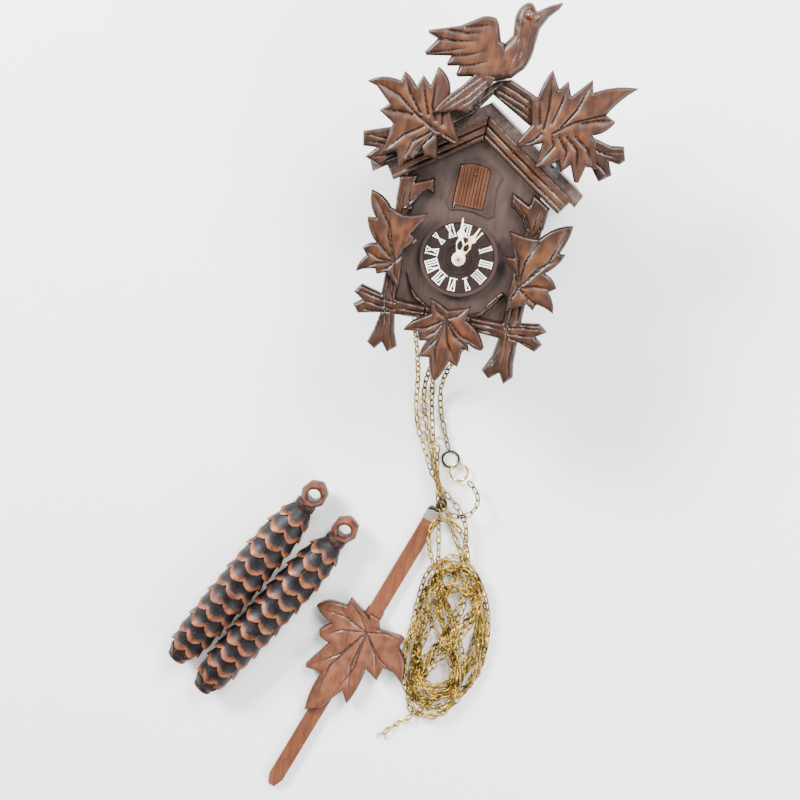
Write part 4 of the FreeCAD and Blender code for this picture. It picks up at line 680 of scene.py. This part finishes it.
bird_parts = [
    relief("bird_body", BODY, C1 + 0.1, P1, M["carved"], strokes([
        [(12.9, 127), (13.2, 119), (11.4, 110)], [(9.8, 126), (10.2, 118), (8.4, 108)],
        [(6.8, 124), (7.2, 116), (5, 107)], [(15, 124), (15, 117)], [(11.4, 133.5), (12.2, 129.5)],
        [(7.6, 132), (8.6, 128)], [(4.6, 133), (5.8, 129)], [(13.2, 140.6), (19, 141.8), (25, 145.6)],
        [(14.6, 137.6), (15.2, 134)], [(8.2, 139.6), (10.6, 140.4), (13.2, 139)],
        [(7.6, 138.4), (8, 135.2), (10.4, 133.8)]], 0.7, 0.5), edge=5.5, rim=0.35, step=0.6, seed=31),
    relief("bird_tail", TAIL, 102.9, P1, M["carved"], strokes([
        [(-6, 99), (-14, 89), (-26, 78.4)], [(-4, 97), (-11.5, 87), (-19, 80.2)],
        [(-3, 94.6), (-9.6, 84.6), (-12.6, 80.8)], [(-9, 100), (-18, 90.5), (-28, 79)]], 0.9, 0.8),
           edge=1.8, rim=0.4, step=0.6, seed=32),
    relief("bird_wing", WING, P0 + 4.4, P1, M["carved"], strokes([
        [(-36.5, 115.8), (-26, 116.3), (-16, 118)], [(-27, 107.9), (-18, 110.4), (-10, 113.6)],
        [(-21.4, 103.6), (-14, 105.8), (-7, 109)], [(-31, 121.6), (-22, 121.2), (-14, 122.6)],
        [(-38, 107.6), (-30, 110), (-20, 113.6)], [(-22, 124.4), (-15, 126.4), (-9, 128)]], *GROOVE),
           edge=2.2, rim=0.55, step=0.6, seed=33, dome=0.3),
]
place(join(bird_parts, "bird_carved"), "crown_bird", slot="carving_wood")


# ---- grooved boards under the roof edge ---------------------------------------------------
def trim_board(side, slope, reach):
    """One front board with its two long grooves, and the strip behind it that meets the panel."""
    def at(along, down):
        fall = cos(radians(slope))
        return (side * along, 81 - down / fall - along * sin(radians(slope)) / fall)
    face = relief("trim_face", [at(0, 11.2), at(reach - 6.3, 11.2), at(reach, 0), at(0, 0)],
                  88, 91.5, M["trim"],
                  strokes([[at(0, 4.4), at(reach - 2.6, 4.4)], [at(0, 8.4), at(reach - 5, 8.4)]], 0.8, 1.6),
                  edge=0.9, rim=0.6, step=0.6, seed=51)
    strip = relief("trim_strip", [at(0, 11.2), at(reach - 6.3, 11.2), at(reach - 8, 4), at(0, 4)],
                   86, 88.1, M["trim"], (), edge=0.3, rim=0.95, step=1.2)
    return [face, strip]


place(join(trim_board(-1, 35.2, 51.5) + trim_board(1, 33.2, 55.5), "trims_grooved"), "roof_trims",
      slot="carving_wood")


# ---- pendulum leaf ------------------------------------------------------------------------
L1 = level("leaf_bob")[1]
L0 = L1 - BOB_THICK
bob = relief("bob_leaf", LEAF_BOB, L0, L1, M["bob"],
             fan((-9, -266), [(-43.5, -255.5), (-30, -252), (-38.5, -274), (-43, -298.5), (-38, -328),
                              (-24, -318), (-12.6, -317.5), (4, -296.5), (20.6, -295), (15.5, -266),
                              (-25, -246)], *GROOVE), edge=1.8, rim=0.7, dome=0.4, step=0.7, seed=41)
block = relief("bob_block", [(-9.4, -252.4), (-2.4, -254.8), (-0.6, -261.6), (-8.2, -262.6)],
               L1 - 2.4, L1 + 0.2, M["bob"], (), edge=1.0, rim=0.6, step=0.6, seed=42)
STICK = radians(18.1)
TOP = (17.4, -180.0)


def on_stick(along, across):
    x = TOP[0] - along * sin(STICK) + across * cos(STICK)
    return (x, TOP[1] - along * cos(STICK) - across * sin(STICK))


clip = relief("bob_clip", [on_stick(a, c) for a, c in ((75, -5.8), (75, 5.8), (93, 5.8), (93, -5.8))],
              0.62, 1.12, M["black"], (), edge=0.5, rim=0.8, step=1.2)
sides = []
for side in (-1, 1):
    ends = [(75, side * 5.2), (75, side * 5.8), (93, side * 5.8), (93, side * 5.2)]
    sides.append(relief("bob_side", [on_stick(a, c) for a, c in ends], 0.7, L0 + 0.4, M["bob"], (),
                        edge=0.3, rim=0.8, step=0.5))
place(join([bob, block, clip] + sides, "pendulum_leaf_carved"), "leaf_bob", body="pendulum_leaf",
      slot="carving_wood")


# ---- cone weights -------------------------------------------------------------------------
PROFILE = [(0, 0.5), (2.5, 6.4), (8, 9.6), (20, 11.6), (48, 12.7), (80, 13.0), (112, 12.8), (124, 11.9),
           (132, 10.4), (138, 8.0), (142, 5.6)]


SCALE_ROWS = 13
SCALES_IN_ROW = 6
TIP_SCALES = 5
ROW_PITCH = 10.6
CONE_AXIS_Z = 13.8


def girth(s):
    """Radius of a cone at distance s from its tip."""
    at = [p[0] for p in PROFILE]
    return float(np.interp(s, at, [p[1] for p in PROFILE]))


def scale_mesh(s, angle, width, length, lift):
    """One tongue-shaped scale: its free end points to the tip, at distance s from it."""
    verts, faces, high = [], [], []
    nu, nv = 9, 9
    for i in range(nu):
        u = i / (nu - 1)
        swell = 0.50 + 0.5 * sin(pi * min(1, 0.15 + 0.62 * u))
        half = width / 2 * swell * sqrt(max(0.0, 1 - max(0, (u - 0.62) / 0.4) ** 2))
        for j in range(nv):
            v = 2 * j / (nv - 1) - 1
            back = s + length * (1 - u)
            r = girth(back)
            a = angle + v * half / r
            rise = lift * (0.12 + 0.88 * u ** 1.6) * (1 - 0.3 * v * v)
            lip = 0.8 * smooth((u - 0.62) / 0.3)
            dish = -0.5 * (1 - v * v) * sin(pi * u)
            rr = r - 0.9 + rise + lip + dish
            verts.append((rr * sin(a), back, rr * cos(a)))
            high.append(0.85 * float(smooth((hypot(0.75 * v * u, u) - 0.72) / 0.26)))
    top = len(verts)
    for x, y, z in list(verts):
        r = hypot(x, z)
        k = (r - 2.2) / r
        verts.append((x * k, y + 0.6, z * k))
        high.append(0.0)
    for i in range(nu - 1):
        for j in range(nv - 1):
            a = i * nv + j
            faces.append((a, a + 1, a + nv + 1, a + nv))
            faces.append((top + a + nv, top + a + nv + 1, top + a + 1, top + a))
    rim = [j for j in range(nv)] + [i * nv + nv - 1 for i in range(1, nu)]
    rim += [(nu - 1) * nv + j for j in range(nv - 2, -1, -1)] + [i * nv for i in range(nu - 2, 0, -1)]
    for a, b in zip(rim, rim[1:] + rim[:1]):
        faces.append((b, a, top + a, top + b))
    return verts, faces, high


def add(store, part):
    """Appends a (verts, faces, high) part to a store of the same three lists."""
    verts, faces, high = part
    base = len(store[0])
    store[0].extend(verts)
    store[1].extend(tuple(base + i for i in f) for f in faces)
    store[2].extend(high)


def lathe(profile, around, wobble=0.0, seed=0):
    """A turned body about the Y axis from (distance, radius) pairs."""
    verts, faces, high = [], [], []
    for s, r in profile:
        for k in range(around):
            a = 2 * pi * k / around
            rr = r * (1 + wobble * noise.noise(Vector((cos(a) * 2, s * 0.2, sin(a) * 2 + seed))))
            verts.append((rr * sin(a), s, rr * cos(a)))
            high.append(0.55 if s < 9 else 0.12)
    for i in range(len(profile) - 1):
        for k in range(around):
            a, b = i * around + k, i * around + (k + 1) % around
            faces.append((a, b, b + around, a + around))
    faces.append(tuple(range(around - 1, -1, -1)))
    faces.append(tuple(range((len(profile) - 1) * around, len(profile) * around)))
    return verts, faces, high


def eye_lug(seed):
    """Chunky faceted cast lug at the end of a cone, with its hole through."""
    verts, faces, high = [], [], []
    n = 32
    for i in range(n):
        t = 2 * pi * i / n
        facet = (t + 0.3 * seed) % (pi / 3.5) - pi / 7
        reach = 8.0 / cos(facet) * (1 + 0.12 * cos(t) ** 2)
        section = [(4.1, -3.6), (4.7, -5.2), (reach * 0.72, -5.8), (reach, -2.6), (reach, 2.6),
                   (reach * 0.72, 5.8), (4.7, 5.2), (4.1, 3.6)]
        for k, (r, h) in enumerate(section):
            verts.append((min(8.6, max(-8.6, r * sin(t))), 151.4 + r * cos(t), h))
            high.append(0.5 if k in (4, 5) else 0.2)
    m = 8
    for i in range(n):
        for j in range(m):
            a, b = i * m + j, ((i + 1) % n) * m + j
            faces.append((a, b, ((i + 1) % n) * m + (j + 1) % m, i * m + (j + 1) % m))
    return verts, faces, high


def cone_weight(node, tip, degrees_, body, seed):
    """A cast weight: core, neck, lug and rows of scales, laid on the ground at an angle."""
    store = ([], [], [])
    add(store, lathe([(s, girth(s) - 1.6 if s > 3 else girth(s) * 0.8) for s in
                      (0.3, 1, 2.5, 5, 8, 14, 20, 34, 48, 64, 80, 96, 112, 124, 132, 138, 142)], 40))
    add(store, lathe([(138.5, 6.4), (140.5, 7.4), (143.5, 7.2), (145, 5.6), (147.5, 4.6)], 10, 0.05, seed))
    add(store, eye_lug(seed))
    for k in range(TIP_SCALES):
        add(store, scale_mesh(0.0, 2 * pi * k / TIP_SCALES, 7.6, 5.5, 0.5))
    for row in range(SCALE_ROWS):
        s = 1.5 + row * ROW_PITCH
        r = girth(s + 4)
        width = 2 * pi * r / SCALES_IN_ROW * 1.12
        for k in range(SCALES_IN_ROW):
            turn = 2 * pi * (k + (row % 2) / 2) / SCALES_IN_ROW + 0.04 * sin(row * 2.3 + k)
            add(store, scale_mesh(s, turn + seed * 0.3, width, 16.5 if row else 9, 1.3 if row else 0.7))
    a = radians(degrees_)
    verts = [((tip[0] + x * cos(a) + y * sin(a)) * MM, (tip[1] - x * sin(a) + y * cos(a)) * MM,
              max(0.0001, (CONE_AXIS_Z + h) * MM)) for x, y, h in store[0]]
    obj = new_object(node + "_cast", verts, store[1], M["cone"], {"high": store[2]}, 38)
    return place(obj, node, body=body, slot="cone_iron")


cone_weight("weight_left", (-131.0, -312.0), 27.9, "left_weight", 0.0)
cone_weight("weight_right", (-110.6, -329.2), 29.4, "right_weight", 1.0)


# ---- chains -------------------------------------------------------------------------------
LINK_PITCH = 4.6
LINK_WIDTH = 4.0
WIRE = 1.0


def route_line(points):
    """Points read along the smooth spline of a route, in millimetres."""
    curve = bpy.data.curves.new("route", "CURVE")
    curve.dimensions = "3D"
    curve.resolution_u = 12
    spline = curve.splines.new("NURBS")
    spline.points.add(len(points) - 1)
    for p, at in zip(spline.points, points):
        p.co = (*at, 1)
    spline.order_u = 3
    spline.use_endpoint_u = True
    holder = bpy.data.objects.new("route", curve)
    mesh = bpy.data.meshes.new_from_object(holder)
    line = np.array([v.co[:] for v in mesh.vertices])
    bpy.data.objects.remove(holder)
    bpy.data.meshes.remove(mesh)
    bpy.data.curves.remove(curve)
    return line


def link_shape(around=20, ring=7):
    """One link: a stadium loop of wire in its own plane, along X."""
    r = (LINK_WIDTH - WIRE) / 2
    straight = LINK_PITCH + WIRE * 0.9 - 2 * r
    verts = []
    for i in range(around):
        t = 2 * pi * i / around
        shift = straight / 2 if cos(t) > 0 else -straight / 2
        c = np.array([r * cos(t) + shift, r * sin(t), 0.0])
        out = np.array([cos(t), sin(t), 0.0])
        for j in range(ring):
            p = 2 * pi * j / ring
            verts.append(c + WIRE / 2 * (out * cos(p) + np.array([0, 0, 1]) * sin(p)))
    faces = []
    for i in range(around):
        for j in range(ring):
            a, b = i * ring + j, ((i + 1) % around) * ring + j
            c, d = ((i + 1) % around) * ring + (j + 1) % ring, i * ring + (j + 1) % ring
            faces.append((a, b, c, d))
    return np.array(verts), faces


SHAPE, SHAPE_FACES = link_shape()


def chain(name, points, nodes, material, seed):
    """A chain of separate links along a route, every other one turned by a quarter, as a limp cord."""
    line = route_line(points)
    gaps = np.linalg.norm(np.diff(line, axis=0), axis=1)
    along = np.concatenate([[0], np.cumsum(gaps)])
    total = along[-1]
    count = int(total / LINK_PITCH)
    verts, faces = [], []
    rng = np.random.default_rng(seed)
    base_roll = pi / 4
    for k in range(count):
        s = (k + 0.5) * total / count
        here, ahead = (np.array([np.interp(s + e, along, line[:, c]) for c in range(3)]) for e in (-1.5, 1.5))
        x = (ahead - here) / np.linalg.norm(ahead - here)
        side = np.cross([0, 0, 1.0], x)
        side /= max(1e-6, np.linalg.norm(side))
        up = np.cross(x, side)
        roll = base_roll + (pi / 2 if k % 2 else 0) + rng.uniform(-0.22, 0.22)
        y = side * cos(roll) + up * sin(roll)
        z = np.cross(x, y)
        mid = np.array([np.interp(s, along, line[:, c]) for c in range(3)])
        base = len(verts)
        verts.extend((SHAPE @ np.array([x, y, z]) + mid) * MM)
        faces.extend(tuple(base + i for i in f) for f in SHAPE_FACES)
    verts = np.array(verts)
    verts[:, 2] = np.maximum(verts[:, 2], 0.00005)
    obj = new_object(name, verts, faces, M[material], None, 60)
    place(obj, *nodes, slot="chain_brass")
    print(name, "length", round(total, 1), "links", count)
    return obj


def heap_loops(turns, ring, eight, height, z, lift, seed, reach=0):
    """A chain dropped in long loops: ring is half the width of an open loop, eight that of a crossed one.

    The first loops lie higher by reach, and the rest settle at the bottom of the heap."""
    points = []
    per_turn = 26
    for k in range(int(turns * per_turn)):
        t = k / per_turn
        a = 2 * pi * t + 0.5
        size = 1 + 0.07 * sin(2.3 * t + seed)
        early = reach * (0.5 + 0.5 * cos(pi * min(1, t / 3.5)))
        y = -261 + early + 9 * sin(1.1 * t + seed)
        y += (height * (1 + 0.09 * cos(1.9 * t + seed)) + early) * cos(a)
        middle = 45 - 9 * ((y + 260) / 60) ** 2 + 4 * sin(1.7 * t + 2 * seed)
        x = middle + size * (ring * sin(a) + eight * sin(2 * a)) + 1.2 * sin(3 * a + 2.1 * t)
        points.append((x, y, z + lift * sin(1.3 * a + seed)))
    return points


strike_points = STRIKE_WEIGHT_ROUTE + [(11.6, -146, 2.0), (16.4, -156, 2.1), (23, -168, 2.1), (30, -182, 2.2),
                                       (38, -197, 2.2)] + heap_loops(6.38, 22, 0, 46, 3.6, 1.5, 0.4)
strike_points += [(31, -321.6, 2.3), (24.6, -326.6, 2.1), (19, -332.6, 2.1), (16.7, -336.2, 1.9)]
time_points = TIME_WEIGHT_ROUTE + [(7.6, -143.6, 7.4), (13.2, -152.4, 7.4), (22, -160.4, 7.8)] + heap_loops(
    6.754, 0, 13.4, 43, 7.6, 1.8, 2.1, 25)
time_points += [(28.6, -214, 7.2), (25, -194, 7.2), (20.8, -175, 7.2), (17.2, -160, 6.6),
                (14, -147, 5), (12, -138, 3), (11.1, -132.6, 1.9)]

for name, points, nodes, material, seed, end in (
        ("time_chain", time_points, ("time_weight_chain", "time_heap"), "chain", 1, "time_hook"),
        ("strike_chain", strike_points, ("strike_weight_chain", "strike_heap"), "chain", 2, "strike_hook"),
        ("time_ring_end", TIME_RING_ROUTE, ("time_ring_chain",), "chain_dark", 3, "brass_ring"),
        ("strike_ring_end", STRIKE_RING_ROUTE, ("strike_ring_chain",), "chain_dark", 4, "dark_ring")):
    chain(name, points, nodes, material, seed)


# ---- materials of the pieces that keep their own shape ---------------------------------------
FINISH = {
    "front_panel": "panel", "side_walls": "case", "bottom_board": "case", "back_panel": "board",
    "service_cover": "board", "roof_boards": "roof", "roof_trims": "trim", "roof_plates": "steel",
    "door_surround": "surround", "bird_eye": "bead", "dial": "dial_edged", "numerals": "numeral",
    "hour_hand": "cream", "minute_hand": "ivory", "hand_nut": "hub", "anchor": "steel",
    "pendulum_leader": "wire", "gong": "wire", "hammer": "wire", "cuckoo_door": "door",
    "door_wire": "wire", "cuckoo": "cuckoo", "bird_arm": "wire", "whistles": "pipe",
    "bellows_top_left": "pipe", "bellows_top_right": "pipe", "screws": "steel",
    "pendulum_stick": "stick", "pendulum_hook": "clip", "brass_ring": "ring", "dark_ring": "black",
    "time_hook": "wire", "strike_hook": "wire",
}
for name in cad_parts:
    obj = bpy.data.objects.get(name)
    if obj is None or obj.type != "MESH":
        continue
    finish = M[FINISH.get(name, "brass")]
    if not obj.material_slots:
        continue
    for s in obj.material_slots:
        s.material = finish


# ---- stage, light and camera ----------------------------------------------------------------
bpy.ops.mesh.primitive_plane_add(size=6, location=(0, 0, -0.0004))
floor = bpy.context.object
floor.name = "floor"
floor.data.materials.append(M["floor"])

world = bpy.data.worlds.new("studio")
bpy.context.scene.world = world
world.use_nodes = True
world.node_tree.nodes["Background"].inputs["Color"].default_value = (1, 1, 1, 1)
world.node_tree.nodes["Background"].inputs["Strength"].default_value = 0.7


def softbox(name, at, aim, size, power):
    light = bpy.data.lights.new(name, "AREA")
    light.shape = "SQUARE"
    light.size = size
    light.energy = power
    obj = bpy.data.objects.new(name, light)
    obj.location = at
    obj.rotation_euler = (Vector(aim) - Vector(at)).to_track_quat("-Z", "Y").to_euler()
    bpy.context.scene.collection.objects.link(obj)


softbox("key", (-1.1, 0.7, 0.95), (0, -0.1, 0.02), 0.5, 92)
softbox("fill", (1.1, -0.6, 0.9), (0, -0.1, 0.0), 0.9, 28)
softbox("top", (0.5, 1.1, 1.3), (0, -0.1, 0.0), 0.7, 66)

camera = bpy.data.cameras.new("camera")
camera.sensor_width = 36
camera.lens = 65.25
camera.clip_start = 0.01
eye = bpy.data.objects.new("camera", camera)
right = Vector((0.9773, 0.1988, -0.0735)).normalized()
up = Vector((-0.2101, 0.9549, -0.2098)).normalized()
back = right.cross(up).normalized()
up = back.cross(right)
CAMERA_AT = (0.007778, 0.097784, 0.912)
eye.matrix_world = Matrix.Translation(CAMERA_AT) @ Matrix((right, up, back)).transposed().to_4x4()
bpy.context.scene.collection.objects.link(eye)
bpy.context.scene.camera = eye
